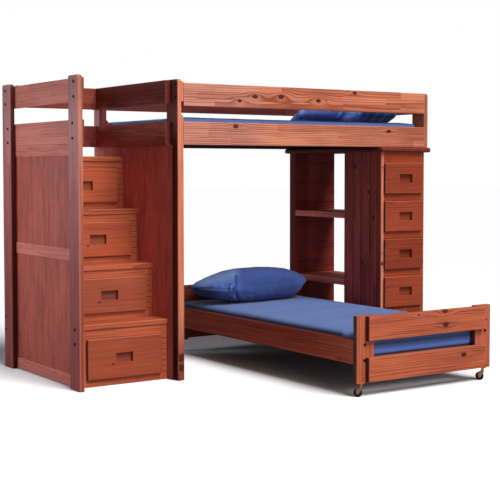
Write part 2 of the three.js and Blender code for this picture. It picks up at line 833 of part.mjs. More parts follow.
// A fork with its swivel plate, stem and axle, about the swivel axis at the origin.
function forkSolid() {
  const top = rollPostZ - swivelGap;
  const half = wheelW / 2 + forkGap;
  const eyeR = axleR + forkEyeWall;
  const crownZ = 2 * wheelR + forkCrownGap;
  const plate = new THREE.CylinderGeometry(plateR, plateR, plateT, 12);
  plate.rotateX(Math.PI / 2);
  const stem = new THREE.CylinderGeometry(stemR, stemR, top - crownZ, 12);
  stem.rotateX(Math.PI / 2);
  const outline = new THREE.Shape();
  outline.moveTo(-stemR, crownZ + forkT);
  outline.lineTo(-stemR, crownZ - stemR);
  outline.absarc(trail, wheelR, eyeR, Math.PI, 2 * Math.PI, false);
  outline.lineTo(trail + eyeR, crownZ - forkBend);
  outline.lineTo(stemR, crownZ + forkT);
  outline.closePath();
  const cheek = new THREE.ExtrudeGeometry(outline, {
    depth: forkT,
    bevelEnabled: false,
    curveSegments: 5,
  });
  cheek.applyMatrix4(along.x);
  const axle = new THREE.CylinderGeometry(axleR, axleR, 2 * (half + forkT + axleOver), 10);
  axle.rotateZ(Math.PI / 2);
  return join([
    solidOf(plate, new THREE.Vector3(0, 0, top - plateT / 2)),
    solidOf(stem, new THREE.Vector3(0, 0, (top + crownZ) / 2)),
    block([-half - forkT, -stemR, crownZ], [half + forkT, stemR, crownZ + forkT]),
    solidOf(cheek, new THREE.Vector3(half, 0, 0)),
    solidOf(cheek, new THREE.Vector3(-half - forkT, 0, 0)),
    solidOf(axle, new THREE.Vector3(0, trail, wheelR)),
  ]);
}

function wheelGeometry() {
  const w = wheelW / 2;
  const bore = (axleR + axleGap) / Math.cos(Math.PI / wheelSides); // clear of the axle on its flats
  const profile = [
    [bore, -w],
    [wheelR - tyreRound, -w],
    [wheelR - tyreRoundMid, -w + tyreRoundMid],
    [wheelR, -w + tyreRound],
    [wheelR, w - tyreRound],
    [wheelR - tyreRoundMid, w - tyreRoundMid],
    [wheelR - tyreRound, w],
    [bore, w],
    [bore, -w],
  ].map(([r, y]) => new THREE.Vector2(r, y));
  const geometry = new THREE.LatheGeometry(profile, wheelSides);
  geometry.rotateZ(Math.PI / 2);
  return geometry;
}

function casters() {
  const xs = { left: rollX + casterInset, right: rollX + rollW - casterInset };
  const ys = { front: rollFootY + stock / 2, back: rollHeadY - stock / 2 };
  for (const [end, y] of Object.entries(ys)) {
    for (const [side, x] of Object.entries(xs)) {
      const name = "caster_" + end + "_" + side;
      const caster = new THREE.Group();
      caster.position.set(x, y, 0);
      caster.rotation.z = casterTurn;
      addSolid(name + "_fork", forkSolid(), "copperSteel", caster);
      const wheel = addMesh(name + "_wheel", wheelGeometry(), "blackWheel", caster);
      wheel.position.set(0, trail, wheelR);
      bed.add(caster);
    }
  }
}

function rollingBed() {
  footboard();
  headboard();
  const x1 = rollX + rollW;
  const y0 = rollFootY + stock + seam;
  const y1 = rollHeadY - stock - seam;
  for (const [side, x] of [["left", rollX], ["right", x1 - stock]]) {
    board("roll_" + side + "_rail", [x, y0, sideRailZ], [x + stock, y1, sideRailZ + railH], "y");
  }
  const inX0 = rollX + stock + seam;
  const inX1 = x1 - stock - seam;
  const deckLo = [inX0, y0, rollLedgerZ];
  const deckTop = slatDeck("roll_slat_deck", deckLo, [inX1, y1, rollLedgerZ], "x");
  const lo = [inX0 + mattressSide, y0 + rollMattressEnd, deckTop + seam];
  const hi = [inX1 - mattressSide, y1 - rollMattressEnd, deckTop + seam + rollMattressH];
  mattress("roll_mattress", lo, hi);
  const { fromHead, aside, room } = lowPillow;
  const centre = new THREE.Vector3((inX0 + inX1) / 2 + aside, y1 - fromHead, hi[2] + softGap);
  pillow("roll_pillow", lowPillow, rollInside - room, centre, "blueCloth");
  casters();
}

tower();
stairs();
loft();
endUnit();
rollingBed();

// The frame's origin is on the floor, below the middle of the whole.
const part = new THREE.Group();
bed.position.set(-(unitX + unitW + topOverRight) / 2, -(rollFrontY + towerD) / 2, 0);
part.add(bed);

export default part;
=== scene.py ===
import math
import random

import bpy
from mathutils import Matrix, Vector, noise as soft


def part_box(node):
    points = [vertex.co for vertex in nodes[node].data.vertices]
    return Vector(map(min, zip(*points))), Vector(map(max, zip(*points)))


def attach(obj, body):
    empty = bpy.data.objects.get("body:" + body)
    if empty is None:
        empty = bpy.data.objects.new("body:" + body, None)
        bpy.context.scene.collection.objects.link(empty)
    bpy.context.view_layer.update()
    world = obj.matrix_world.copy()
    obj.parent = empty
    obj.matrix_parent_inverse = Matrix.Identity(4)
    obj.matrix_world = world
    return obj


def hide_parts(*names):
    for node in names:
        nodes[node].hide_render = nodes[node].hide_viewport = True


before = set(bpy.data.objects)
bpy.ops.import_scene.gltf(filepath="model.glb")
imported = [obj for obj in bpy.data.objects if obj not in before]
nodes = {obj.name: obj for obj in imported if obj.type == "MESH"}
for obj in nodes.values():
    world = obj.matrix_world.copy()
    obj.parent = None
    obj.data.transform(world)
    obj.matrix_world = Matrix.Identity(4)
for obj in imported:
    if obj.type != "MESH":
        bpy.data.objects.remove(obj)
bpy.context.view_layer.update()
scene = bpy.context.scene

print("stage: camera")

# The photograph's view: a long lens a little above the loft's middle height, from the left.
photoView = {
    "place": (-4.3047, -6.1413, 1.2883),
    "turn": (87.23, 0.04, -34.13),
    "lens": 85.1,
    "sensor": 36.0,
    "shiftY": -0.05,
    "reach": 200,
}


def makeCamera():
    camera = bpy.data.objects.new("camera", bpy.data.cameras.new("camera"))
    camera.location = photoView["place"]
    camera.rotation_euler = [math.radians(a) for a in photoView["turn"]]
    camera.data.lens = photoView["lens"]
    camera.data.sensor_width = photoView["sensor"]
    camera.data.shift_y = photoView["shiftY"]
    camera.data.clip_end = photoView["reach"]
    scene.collection.objects.link(camera)
    scene.camera = camera


makeCamera()
scene.view_settings.view_transform = "Standard"

print("stage: node helpers")


def setSocket(tree, socket, value):
    if isinstance(value, bpy.types.NodeSocket):
        tree.links.new(value, socket)
    else:
        socket.default_value = value


def addNode(tree, kind, inputs=None, **settings):
    made = tree.nodes.new("ShaderNode" + kind)
    for key, value in settings.items():
        setattr(made, key, value)
    for key, value in (inputs or {}).items():
        setSocket(tree, made.inputs[key], value)
    return made


def calc(tree, operation, *values, clamp=False):
    made = addNode(tree, "Math", operation=operation, use_clamp=clamp)
    for i, value in enumerate(values):
        setSocket(tree, made.inputs[i], value)
    return made.outputs[0]


def vectorCalc(tree, operation, *values):
    made = addNode(tree, "VectorMath", operation=operation)
    for i, value in enumerate(values):
        setSocket(tree, made.inputs[i], value)
    return made.outputs[0]


def split(tree, vector):
    return addNode(tree, "SeparateXYZ", {"Vector": vector}).outputs


def combine(tree, x, y, z):
    return addNode(tree, "CombineXYZ", {"X": x, "Y": y, "Z": z}).outputs[0]


def noise(tree, vector, scale, detail=2.0, rough=0.5):
    made = addNode(tree, "TexNoise", {"Vector": vector, "Scale": scale, "Detail": detail, "Roughness": rough})
    return made.outputs["Fac"]


def ramp(tree, value, low, high, to=(0.0, 1.0), smooth=True):
    made = addNode(
        tree,
        "MapRange",
        {"Value": value, "From Min": low, "From Max": high, "To Min": to[0], "To Max": to[1]},
        interpolation_type="SMOOTHSTEP" if smooth else "LINEAR",
        clamp=True,
    )
    return made.outputs["Result"]


def mixColour(tree, factor, a, b, blend="MIX"):
    made = addNode(tree, "Mix", data_type="RGBA", blend_type=blend)
    setSocket(tree, made.inputs[0], factor)
    setSocket(tree, made.inputs[6], a)
    setSocket(tree, made.inputs[7], b)
    return made.outputs[2]


def mixVector(tree, factor, a, b):
    made = addNode(tree, "Mix", data_type="VECTOR")
    setSocket(tree, made.inputs[0], factor)
    setSocket(tree, made.inputs[4], a)
    setSocket(tree, made.inputs[5], b)
    return made.outputs[1]


def mixValue(tree, factor, a, b):
    made = addNode(tree, "Mix", data_type="FLOAT")
    setSocket(tree, made.inputs[0], factor)
    setSocket(tree, made.inputs[2], a)
    setSocket(tree, made.inputs[3], b)
    return made.outputs[0]


def newGroup(name, inputs, outputs):
    tree = bpy.data.node_groups.new(name, "ShaderNodeTree")
    for way, sockets in (("INPUT", inputs), ("OUTPUT", outputs)):
        for label, kind in sockets.items():
            tree.interface.new_socket(label, in_out=way, socket_type="NodeSocket" + kind)
    given = tree.nodes.new("NodeGroupInput").outputs
    result = tree.nodes.new("NodeGroupOutput").inputs
    return tree, given, result


def useGroup(tree, group, inputs):
    made = tree.nodes.new("ShaderNodeGroup")
    made.node_tree = group
    for key, value in inputs.items():
        setSocket(tree, made.inputs[key], value)
    return made.outputs


print("stage: shared effects")


# Inside is 1 within a box. Edge is 1 along the box's edges and falls off over Width.
def makeBoxGroup():
    tree, given, result = newGroup(
        "boxPlace",
        {"Point": "Vector", "Middle": "Vector", "Half": "Vector", "Width": "Float"},
        {"Inside": "Float", "Edge": "Float"},
    )
    off = vectorCalc(tree, "ABSOLUTE", vectorCalc(tree, "SUBTRACT", given["Point"], given["Middle"]))
    room = split(tree, vectorCalc(tree, "SUBTRACT", given["Half"], off))
    low = calc(tree, "MINIMUM", room[0], room[1])
    high = calc(tree, "MAXIMUM", room[0], room[1])
    least = calc(tree, "MINIMUM", low, room[2])
    second = calc(tree, "MAXIMUM", low, calc(tree, "MINIMUM", high, room[2]))
    tree.links.new(calc(tree, "GREATER_THAN", least, -0.001), result["Inside"])
    near = calc(tree, "SUBTRACT", 1.0, calc(tree, "DIVIDE", second, given["Width"]), clamp=True)
    tree.links.new(calc(tree, "POWER", near, 1.6), result["Edge"])
    return tree


# A knot pushes the grain around itself. Place has the grain along X and the face across Y.
def makeKnotGroup():
    tree, given, result = newGroup(
        "knotBend",
        {"Place": "Vector", "Centre": "Vector", "Radius": "Float", "Before": "Float"},
        {"Place": "Vector", "Knot": "Float"},
    )
    off = vectorCalc(tree, "SUBTRACT", given["Place"], given["Centre"])
    unit = addNode(tree, "VectorMath", operation="SCALE")
    setSocket(tree, unit.inputs[0], off)
    setSocket(tree, unit.inputs["Scale"], calc(tree, "DIVIDE", 1.0, given["Radius"]))
    part = split(tree, unit.outputs[0])
    along = calc(tree, "POWER", calc(tree, "MULTIPLY", part[0], 0.42), 2.0)
    across = calc(tree, "POWER", part[1], 2.0)
    fall = calc(tree, "EXPONENT", calc(tree, "MULTIPLY", calc(tree, "ADD", along, across), -0.22))
    push = calc(tree, "MULTIPLY", fall, -0.85)
    moved = split(tree, off)
    bent = calc(tree, "MULTIPLY", moved[1], push)
    shift = combine(tree, 0.0, bent, calc(tree, "MULTIPLY", fall, given["Radius"]))
    tree.links.new(vectorCalc(tree, "ADD", given["Place"], shift), result["Place"])
    wobble = noise(tree, vectorCalc(tree, "MULTIPLY", given["Place"], (60, 90, 90)), 1.0)
    flat = calc(tree, "ADD", calc(tree, "POWER", calc(tree, "MULTIPLY", part[0], 0.6), 2.0), across)
    reach = calc(tree, "ADD", calc(tree, "SQRT", flat), calc(tree, "MULTIPLY", wobble, 0.5))
    core = ramp(tree, reach, 0.85, 1.45, (1.0, 0.0))
    tree.links.new(calc(tree, "MAXIMUM", given["Before"], core), result["Knot"])
    return tree


# Metres: the glued strips' width and run, the rings' spacing, and how far they wander.
pineGrain = {
    "strip": 0.0467, "stripFrom": 0.07, "block": 0.5, "ring": 0.0115, "wander": (0.0, 0.040, 0.032),
    "tinge": (1.05, 1.25, 1.7, 1), "knot": (0.050, 0.006, 0.004, 1), "rubbed": (0.72, 0.36, 0.22, 1),
    "seam": (0.012, 0.002, 0.002, 1),
}


# Stained softwood: growth rings about a pith, streaks, fibres and glued strips of differing tone.
def makePineGroup():
    tree, given, result = newGroup(
        "stainedPine",
        {
            "Place": "Vector",
            "Pith": "Vector",
            "Seed": "Float",
            "Strips": "Float",
            "Rings": "Float",
            "Knot": "Float",
            "Seam": "Float",
            "Edge": "Float",
            "Light": "Color",
            "Dark": "Color",
        },
        {"Colour": "Color", "Roughness": "Float", "Height": "Float"},
    )
    seedShift = addNode(tree, "VectorMath", operation="SCALE")
    seedShift.inputs[0].default_value = (7.31, 3.17, 5.77)
    setSocket(tree, seedShift.inputs["Scale"], given["Seed"])
    place = vectorCalc(tree, "ADD", given["Place"], seedShift.outputs[0])
    raw = split(tree, given["Place"])

    fromSide = calc(tree, "ADD", raw[1], pineGrain["stripFrom"])
    strip = calc(tree, "FLOOR", calc(tree, "DIVIDE", fromSide, pineGrain["strip"]))
    stripKey = combine(tree, strip, given["Seed"], 4.2)
    stripHash = addNode(tree, "TexWhiteNoise", {"Vector": stripKey}).outputs["Value"]
    along = calc(tree, "DIVIDE", raw[0], pineGrain["block"])
    run = calc(tree, "ADD", along, calc(tree, "MULTIPLY", stripHash, 5.0))
    blockKey = combine(tree, strip, calc(tree, "FLOOR", run), given["Seed"])
    block = addNode(tree, "TexWhiteNoise", {"Vector": blockKey}).outputs["Value"]
    blockOff = calc(tree, "MULTIPLY", calc(tree, "SUBTRACT", block, 0.5), given["Strips"])

    warpCoords = vectorCalc(tree, "MULTIPLY", place, (1.1, 5.0, 5.0))
    warp = addNode(tree, "TexNoise", {"Vector": warpCoords, "Scale": 1.0, "Detail": 2.0}).outputs["Color"]
    centred = vectorCalc(tree, "SUBTRACT", warp, (0.5, 0.5, 0.5))
    warped = vectorCalc(tree, "MULTIPLY", centred, pineGrain["wander"])
    pithShift = combine(tree, 0.0, calc(tree, "MULTIPLY", blockOff, 0.11), 0.0)
    pith = vectorCalc(tree, "ADD", given["Pith"], pithShift)
    off = vectorCalc(tree, "SUBTRACT", given["Place"], pith)
    fromPith = split(tree, vectorCalc(tree, "ADD", off, warped))
    square = calc(tree, "ADD", calc(tree, "POWER", fromPith[1], 2.0), calc(tree, "POWER", fromPith[2], 2.0))
    radius = calc(tree, "SQRT", square)
    uneven = noise(tree, combine(tree, calc(tree, "MULTIPLY", radius, 30.0), given["Seed"], 0.0), 1.0)
    count = calc(tree, "DIVIDE", radius, pineGrain["ring"])
    saw = calc(tree, "FRACT", calc(tree, "ADD", count, calc(tree, "MULTIPLY", uneven, 1.6)))
    rise = ramp(tree, saw, 0.42, 0.92)
    late = calc(tree, "MULTIPLY", rise, ramp(tree, saw, 0.91, 1.0, (1.0, 0.0)))

    streak = noise(tree, vectorCalc(tree, "MULTIPLY", place, (2.2, 62.0, 62.0)), 1.0, 3.0, 0.6)
    fibre = noise(tree, vectorCalc(tree, "MULTIPLY", place, (14.0, 520.0, 520.0)), 1.0, 2.0)
    cloud = noise(tree, vectorCalc(tree, "MULTIPLY", place, (1.6, 7.0, 7.0)), 1.0, 2.0)

    amount = calc(tree, "MULTIPLY", late, given["Rings"])
    amount = calc(tree, "ADD", amount, ramp(tree, streak, 0.35, 0.7, (0.0, 0.34)))
    amount = calc(tree, "ADD", amount, ramp(tree, fibre, 0.3, 0.7, (-0.06, 0.1)))
    amount = calc(tree, "ADD", amount, ramp(tree, cloud, 0.3, 0.7, (-0.12, 0.2)))
    amount = calc(tree, "ADD", amount, calc(tree, "MULTIPLY", blockOff, 0.7), clamp=True)
    colour = mixColour(tree, amount, given["Light"], given["Dark"])
    tinge = noise(tree, vectorCalc(tree, "MULTIPLY", place, (9.0, 42.0, 42.0)), 1.0, 2.0)
    pinker = mixColour(tree, 1.0, colour, pineGrain["tinge"], "MULTIPLY")
    colour = mixColour(tree, ramp(tree, tinge, 0.42, 0.72, (0.0, 0.35)), colour, pinker)
    colour = mixColour(tree, calc(tree, "MULTIPLY", given["Knot"], 0.95), colour, pineGrain["knot"])
    worn = calc(tree, "MULTIPLY", given["Edge"], ramp(tree, streak, 0.3, 0.75, (0.12, 0.5)))
    colour = mixColour(tree, worn, colour, mixColour(tree, 0.5, given["Light"], pineGrain["rubbed"]))
    tree.links.new(mixColour(tree, given["Seam"], colour, pineGrain["seam"]), result["Colour"])
    dry = calc(tree, "ADD", fibre, calc(tree, "MULTIPLY", cloud, 0.6))
    tree.links.new(ramp(tree, dry, 0.4, 1.2, (0.34, 0.55)), result["Roughness"])
    lift = calc(tree, "ADD", calc(tree, "MULTIPLY", late, 0.5), calc(tree, "MULTIPLY", fibre, 0.35))
    tree.links.new(calc(tree, "SUBTRACT", lift, calc(tree, "MULTIPLY", given["Knot"], 0.6)), result["Height"])
    return tree


# Rotary-cut plywood: long vertical flames with soft mottling across them.
def makePlyGroup():
    tree, given, result = newGroup(
        "stainedPly",
        {"Place": "Vector", "Seed": "Float", "Light": "Color", "Dark": "Color"},
        {"Colour": "Color", "Roughness": "Float", "Height": "Float"},
    )
    seedShift = addNode(tree, "VectorMath", operation="SCALE")
    seedShift.inputs[0].default_value = (5.1, 8.3, 2.9)
    setSocket(tree, seedShift.inputs["Scale"], given["Seed"])
    place = vectorCalc(tree, "ADD", given["Place"], seedShift.outputs[0])
    warpCoords = vectorCalc(tree, "MULTIPLY", place, (1.4, 3.5, 3.5))
    warp = addNode(tree, "TexNoise", {"Vector": warpCoords, "Scale": 1.0, "Detail": 3.0}).outputs["Color"]
    bent = vectorCalc(tree, "ADD", place, vectorCalc(tree, "MULTIPLY", warp, (0.0, 0.16, 0.16)))
    flame = noise(tree, vectorCalc(tree, "MULTIPLY", bent, (1.1, 26.0, 26.0)), 1.0, 3.0, 0.55)
    fine = noise(tree, vectorCalc(tree, "MULTIPLY", place, (9.0, 150.0, 150.0)), 1.0, 3.0, 0.6)
    mottle = noise(tree, vectorCalc(tree, "MULTIPLY", place, (4.5, 9.0, 9.0)), 1.0, 4.0, 0.6)
    amount = ramp(tree, flame, 0.32, 0.68, (0.0, 0.5))
    amount = calc(tree, "ADD", amount, ramp(tree, fine, 0.3, 0.7, (0.0, 0.3)))
    amount = calc(tree, "ADD", amount, ramp(tree, mottle, 0.3, 0.7, (-0.1, 0.3)), clamp=True)
    tree.links.new(mixColour(tree, amount, given["Light"], given["Dark"]), result["Colour"])
    tree.links.new(ramp(tree, fine, 0.3, 0.7, (0.36, 0.52)), result["Roughness"])
    tree.links.new(fine, result["Height"])
    return tree


boxPlace = makeBoxGroup()
knotBend = makeKnotGroup()
stainedPine = makePineGroup()
stainedPly = makePlyGroup()


def startMaterial(name):
    material = bpy.data.materials.new(name)
    material.use_nodes = True
    tree = material.node_tree
    shader = tree.nodes["Principled BSDF"]
    point = addNode(tree, "TexCoord").outputs["Object"]
    return material, tree, shader, point


edgeWidth = 0.006  # how far a board's rubbed edge reaches


# The grain's own coordinates within one board: along it, across its wide face, through it.
def boardPlace(tree, point, region):
    lo, hi = (Vector(c) for c in region["box"])
    middle = (lo + hi) / 2
    size = hi - lo
    axis = {"x": 0, "y": 1, "z": 2}[region["grain"]]
    others = sorted((i for i in range(3) if i != axis), key=lambda i: -size[i])
    local = split(tree, vectorCalc(tree, "SUBTRACT", point, tuple(middle)))
    place = combine(tree, local[axis], local[others[0]], local[others[1]])
    fit = boxFit(tree, point, lo, hi)
    return place, fit["Inside"], fit["Edge"], (middle, axis, others)


def boxFit(tree, point, lo, hi):
    middle, half = tuple((lo + hi) / 2), tuple((hi - lo) / 2)
    return useGroup(tree, boxPlace, {"Point": point, "Middle": middle, "Half": half, "Width": edgeWidth})


def insideBox(tree, point, box):
    return boxFit(tree, point, *(Vector(c) for c in box))["Inside"]


seamDepth = 0.85


# Dark joint lines across an axis, at the given heights or places, in one box or all over.
def seamMask(tree, point, seams):
    mask = 0.0
    for axis, places, width, *box in seams:
        here = split(tree, point)[axis]
        within = seamDepth
        if box:
            within = calc(tree, "MULTIPLY", insideBox(tree, point, box[0]), seamDepth)
        for at in places:
            off = calc(tree, "ABSOLUTE", calc(tree, "SUBTRACT", here, at))
            line = calc(tree, "MULTIPLY", ramp(tree, off, width * 0.3, width, (1.0, 0.0)), within)
            mask = calc(tree, "MAXIMUM", mask, line)
    return mask


# A wood finish over one or more boards of a node. Later regions lie over the first. A fade is an axis, where
# it starts and is done, its tint there, and a box where it doesn't cover the whole node.
def makeWood(name, finish, regions, knots=(), strips=0.0, seams=(), fades=()):
    material, tree, shader, point = startMaterial(name)
    place = seed = edge = layout = None
    light, dark = finish["light"], finish["dark"]
    rng = random.Random(name)
    for region in regions:
        here, inside, rim, where = boardPlace(tree, point, region)
        own = round(rng.uniform(0, 9), 3)
        if place is None:
            place, seed, edge, layout = here, own, rim, where
        else:
            place = mixVector(tree, inside, place, here)
            seed = mixValue(tree, inside, seed, own)
            edge = mixValue(tree, inside, edge, rim)
            if "finish" in region:
                light = mixColour(tree, inside, light, region["finish"]["light"])
                dark = mixColour(tree, inside, dark, region["finish"]["dark"])
    for level, start, end, tint, *box in fades:
        amount = ramp(tree, split(tree, point)[level], start, end)
        if box:
            amount = calc(tree, "MULTIPLY", amount, insideBox(tree, point, box[0]))
        light = mixColour(tree, amount, light, tint, "MULTIPLY")
        dark = mixColour(tree, amount, dark, tint, "MULTIPLY")
    knot = 0.0
    middle, axis, others = layout
    for (x, y, z), radius in knots:
        local = Vector((x, y, z)) - middle
        centre = (local[axis], local[others[0]], local[others[1]])
        bend = useGroup(tree, knotBend, {"Place": place, "Centre": centre, "Radius": radius, "Before": knot})
        place, knot = bend["Place"], bend["Knot"]
    pith = (0.0, rng.choice((-1, 1)) * rng.uniform(0.05, 0.12), rng.choice((-1, 1)) * rng.uniform(0.04, 0.09))
    wood = useGroup(tree, stainedPine, {
        "Place": place, "Pith": pith, "Seed": seed, "Strips": strips, "Rings": finish["rings"], "Knot": knot,
        "Seam": seamMask(tree, point, seams), "Edge": edge, "Light": light, "Dark": dark})
    finishWood(tree, shader, wood, finish)
    return material


def finishWood(tree, shader, wood, finish):
    bump = addNode(tree, "Bump", {"Strength": 0.35, "Distance": 0.0006, "Height": wood["Height"]})
    tree.links.new(wood["Colour"], shader.inputs["Base Color"])
    tree.links.new(wood["Roughness"], shader.inputs["Roughness"])
    tree.links.new(bump.outputs["Normal"], shader.inputs["Normal"])
    shader.inputs["Specular IOR Level"].default_value = finish["gloss"]


# Weld distance, and the angles past which an edge is eased and past which it is shaded sharp.
easing = {"weld": 0.00002, "eased": 60, "sharp": 50}


# Shades a mesh smoothly, apart from its sharp edges.
def makeShadingGroup():
    tree = bpy.data.node_groups.new("softShading", "GeometryNodeTree")
    tree.interface.new_socket("Geometry", in_out="INPUT", socket_type="NodeSocketGeometry")
    tree.interface.new_socket("Geometry", in_out="OUTPUT", socket_type="NodeSocketGeometry")
    given = tree.nodes.new("NodeGroupInput")
    result = tree.nodes.new("NodeGroupOutput")
    angle = tree.nodes.new("GeometryNodeInputMeshEdgeAngle")
    sharp = tree.nodes.new("FunctionNodeCompare")
    sharp.data_type = "FLOAT"
    sharp.operation = "GREATER_THAN"
    sharp.inputs[1].default_value = math.radians(easing["sharp"])
    smooth = tree.nodes.new("GeometryNodeSetShadeSmooth")
    hard = tree.nodes.new("GeometryNodeSetShadeSmooth")
    hard.domain = "EDGE"
    hard.inputs["Shade Smooth"].default_value = False
    tree.links.new(angle.outputs["Unsigned Angle"], sharp.inputs[0])
    tree.links.new(given.outputs[0], smooth.inputs["Geometry"])
    tree.links.new(smooth.outputs[0], hard.inputs["Geometry"])
    tree.links.new(sharp.outputs[0], hard.inputs["Selection"])
    tree.links.new(hard.outputs[0], result.inputs[0])
    return tree


softShading = makeShadingGroup()


# Gives a node its material, welds its triangles and eases its sharp edges.
def dress(name, material, bevel=0.0012):
    node = nodes[name]
    node.data.materials.clear()
    node.data.materials.append(material)
    weld = node.modifiers.new("weld", "WELD")
    weld.merge_threshold = easing["weld"]
    ease = node.modifiers.new("ease", "BEVEL")
    ease.width = bevel
    ease.segments = 2
    ease.limit_method = "ANGLE"
    ease.angle_limit = math.radians(easing["eased"])
    ease.use_clamp_overlap = True
    shade = node.modifiers.new("shade", "NODES")
    shade.node_group = softShading
    weight = node.modifiers.new("weight", "WEIGHTED_NORMAL")
    weight.keep_sharp = True


print("stage: wood")


# A finish: its early wood's and late wood's colours, how strongly the rings show, and its gloss.
def stain(light, dark, rings, gloss):
    return {"light": light + (1,), "dark": dark + (1,), "rings": rings, "gloss": gloss}


pine = stain((0.54, 0.185, 0.105), (0.27, 0.062, 0.030), 0.5, 0.25)
upperRail = stain((0.50, 0.168, 0.094), (0.22, 0.050, 0.024), 0.75, 0.25)
rollPine = stain((0.46, 0.082, 0.043), (0.19, 0.026, 0.013), 0.6, 0.22)
# Painted light: the pinker tone of the right back post's left face.
paintedLitPink = stain((0.62, 0.24, 0.22), (0.34, 0.11, 0.10), 0.5, 0.2)
# Painted shade: the loft's back rails.
paintedShadeFarRail = stain((0.13, 0.026, 0.022), (0.06, 0.009, 0.008), 0.4, 0.15)
# Painted shade, deeper and lighter: the right rails inside the tower, and the headboard.
paintedShadeDeep = stain((0.21, 0.042, 0.028), (0.098, 0.014, 0.009), 0.6, 0.2)
paintedShadeMid = stain((0.33, 0.074, 0.044), (0.16, 0.025, 0.014), 0.6, 0.2)
endRed = stain((0.145, 0.018, 0.016), (0.07, 0.007, 0.006), 0.4, 0.2)
backRed = stain((0.26, 0.056, 0.034), (0.16, 0.024, 0.012), 0.6, 0.2)
# Painted shade: the tower's lower back rail and the front part of the right back post.
paintedShadeBack = stain((0.18, 0.030, 0.025), (0.09, 0.011, 0.009), 0.6, 0.2)
footPine = stain((0.40, 0.096, 0.043), (0.15, 0.024, 0.010), 0.5, 0.25)
bookWood = stain((0.25, 0.034, 0.025), (0.12, 0.014, 0.011), 0.35, 0.12)
shelfWood = stain((0.55, 0.135, 0.098), (0.26, 0.050, 0.038), 0.5, 0.15)
# Painted shade: the loft's slat deck.
paintedShadeDeck = stain((0.06, 0.022, 0.020), (0.03, 0.010, 0.009), 0.3, 0.1)
drawerPine = stain((0.36, 0.072, 0.028), (0.18, 0.028, 0.012), 0.22, 0.22)
framePine = stain((0.42, 0.092, 0.036), (0.17, 0.026, 0.010), 0.5, 0.22)
chestPine = stain((0.30, 0.051, 0.019), (0.14, 0.019, 0.007), 0.4, 0.22)
caseWood = stain((0.38, 0.066, 0.048), (0.14, 0.019, 0.014), 0.5, 0.15)
endUnitWood = stain((0.17, 0.030, 0.022), (0.07, 0.011, 0.008), 0.35, 0.12)
sidePine = stain((0.67, 0.200, 0.148), (0.37, 0.085, 0.060), 0.45, 0.25)
# Painted sheen: the greyish cast that the left posts' left faces take from their bright surroundings.
paintedSheenGrey = stain((0.56, 0.225, 0.210), (0.22, 0.068, 0.066), 0.6, 0.2)
# Painted shade, for faces turned away from the light and for dark gaps.
paintedShadePine = stain((0.11, 0.013, 0.010), (0.045, 0.005, 0.004), 0.4, 0.1)
battenPine = stain((0.67, 0.195, 0.145), (0.40, 0.096, 0.068), 0.4, 0.25)
plyWood = stain((0.53, 0.112, 0.080), (0.28, 0.053, 0.039), 0.0, 0.22)
redPly = stain((0.66, 0.155, 0.130), (0.34, 0.070, 0.064), 0.0, 0.22)
rawPine = stain((0.20, 0.085, 0.045), (0.11, 0.04, 0.02), 0.3, 0.2)

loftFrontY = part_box("loft_front_upper_rail")[0].y
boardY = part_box("foot_upper_board")[0].y

# Knots of the boards in view: place along and up the front, and radius.
knotsOf = {
    "loft_front_upper_rail": ((-0.236, 1.702, 0.011), (-0.119, 1.732, 0.015), (0.081, 1.737, 0.016),
                              (0.379, 1.722, 0.014), (0.681, 1.783, 0.012)),
    "loft_front_lower_rail": ((-0.264, 1.544, 0.014), (0.978, 1.534, 0.013)),
    "foot_upper_board": ((0.513, 0.368, 0.016), (0.505, 0.452, 0.016), (0.3, 0.44, 0.006)),
    "foot_lower_board": ((0.660, 0.180, 0.016),),
    "right_front_post": ((-0.671, 0.139, 0.016), (-0.678, 0.079, 0.014)),
    "stair_drawer_1": ((-1.075, 0.129, 0.006),),
    "stair_drawer_2": ((-1.071, 0.477, 0.006),),
    "stair_drawer_3": ((-1.053, 0.808, 0.006),),
}


# A part of a node with a grain direction, and a finish where it isn't the node's own.
def boardPart(lo, hi, grain, finish=None):
    made = {"box": (Vector(lo), Vector(hi)), "grain": grain}
    return dict(made, finish=finish) if finish else made


def whole(name, grain):
    return boardPart(*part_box(name), grain)


def frontKnots(name, y):
    return [((x, y, z), r) for x, z, r in knotsOf.get(name, ())]


faceDepth = 0.004  # how deep a finish reaches that one face alone has


# A post or board whose left face has a finish of its own, painted for how light falls on that face: shade on
# most, sheen and light on the tower's left posts and right back post.
def paintedLeftFace(name, grain, left):
    lo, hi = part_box(name)
    return [whole(name, grain), boardPart(lo, (lo.x + faceDepth, hi.y, hi.z), grain, left)]


# A long front rail that changes tone along its length, where it starts and where it is done.
railTones = {
    "loft_front_upper_rail": ((0.64, 0.42, (1.04, 1.24, 1.53, 1)), (0.20, 1.00, (1.17, 1.13, 1.12, 1))),
    "loft_front_lower_rail": ((1.32, 1.10, (1.21, 1.36, 1.38, 1)), (0.66, 0.42, (0.80, 0.84, 1.02, 1))),
}


def railFades(name):
    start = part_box(name)[0].x
    return [(0, start + near, start + far, tint) for near, far, tint in railTones[name]]


# The sawn front end of a side rail.
def frontEnd(name, finish):
    lo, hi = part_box(name)
    return boardPart(lo, (hi.x, lo.y + faceDepth, hi.z), "y", finish)


for name in railTones:
    knots = frontKnots(name, loftFrontY)
    dress(name, makeWood(name, upperRail, [whole(name, "x")], knots, 1.0, (), railFades(name)))
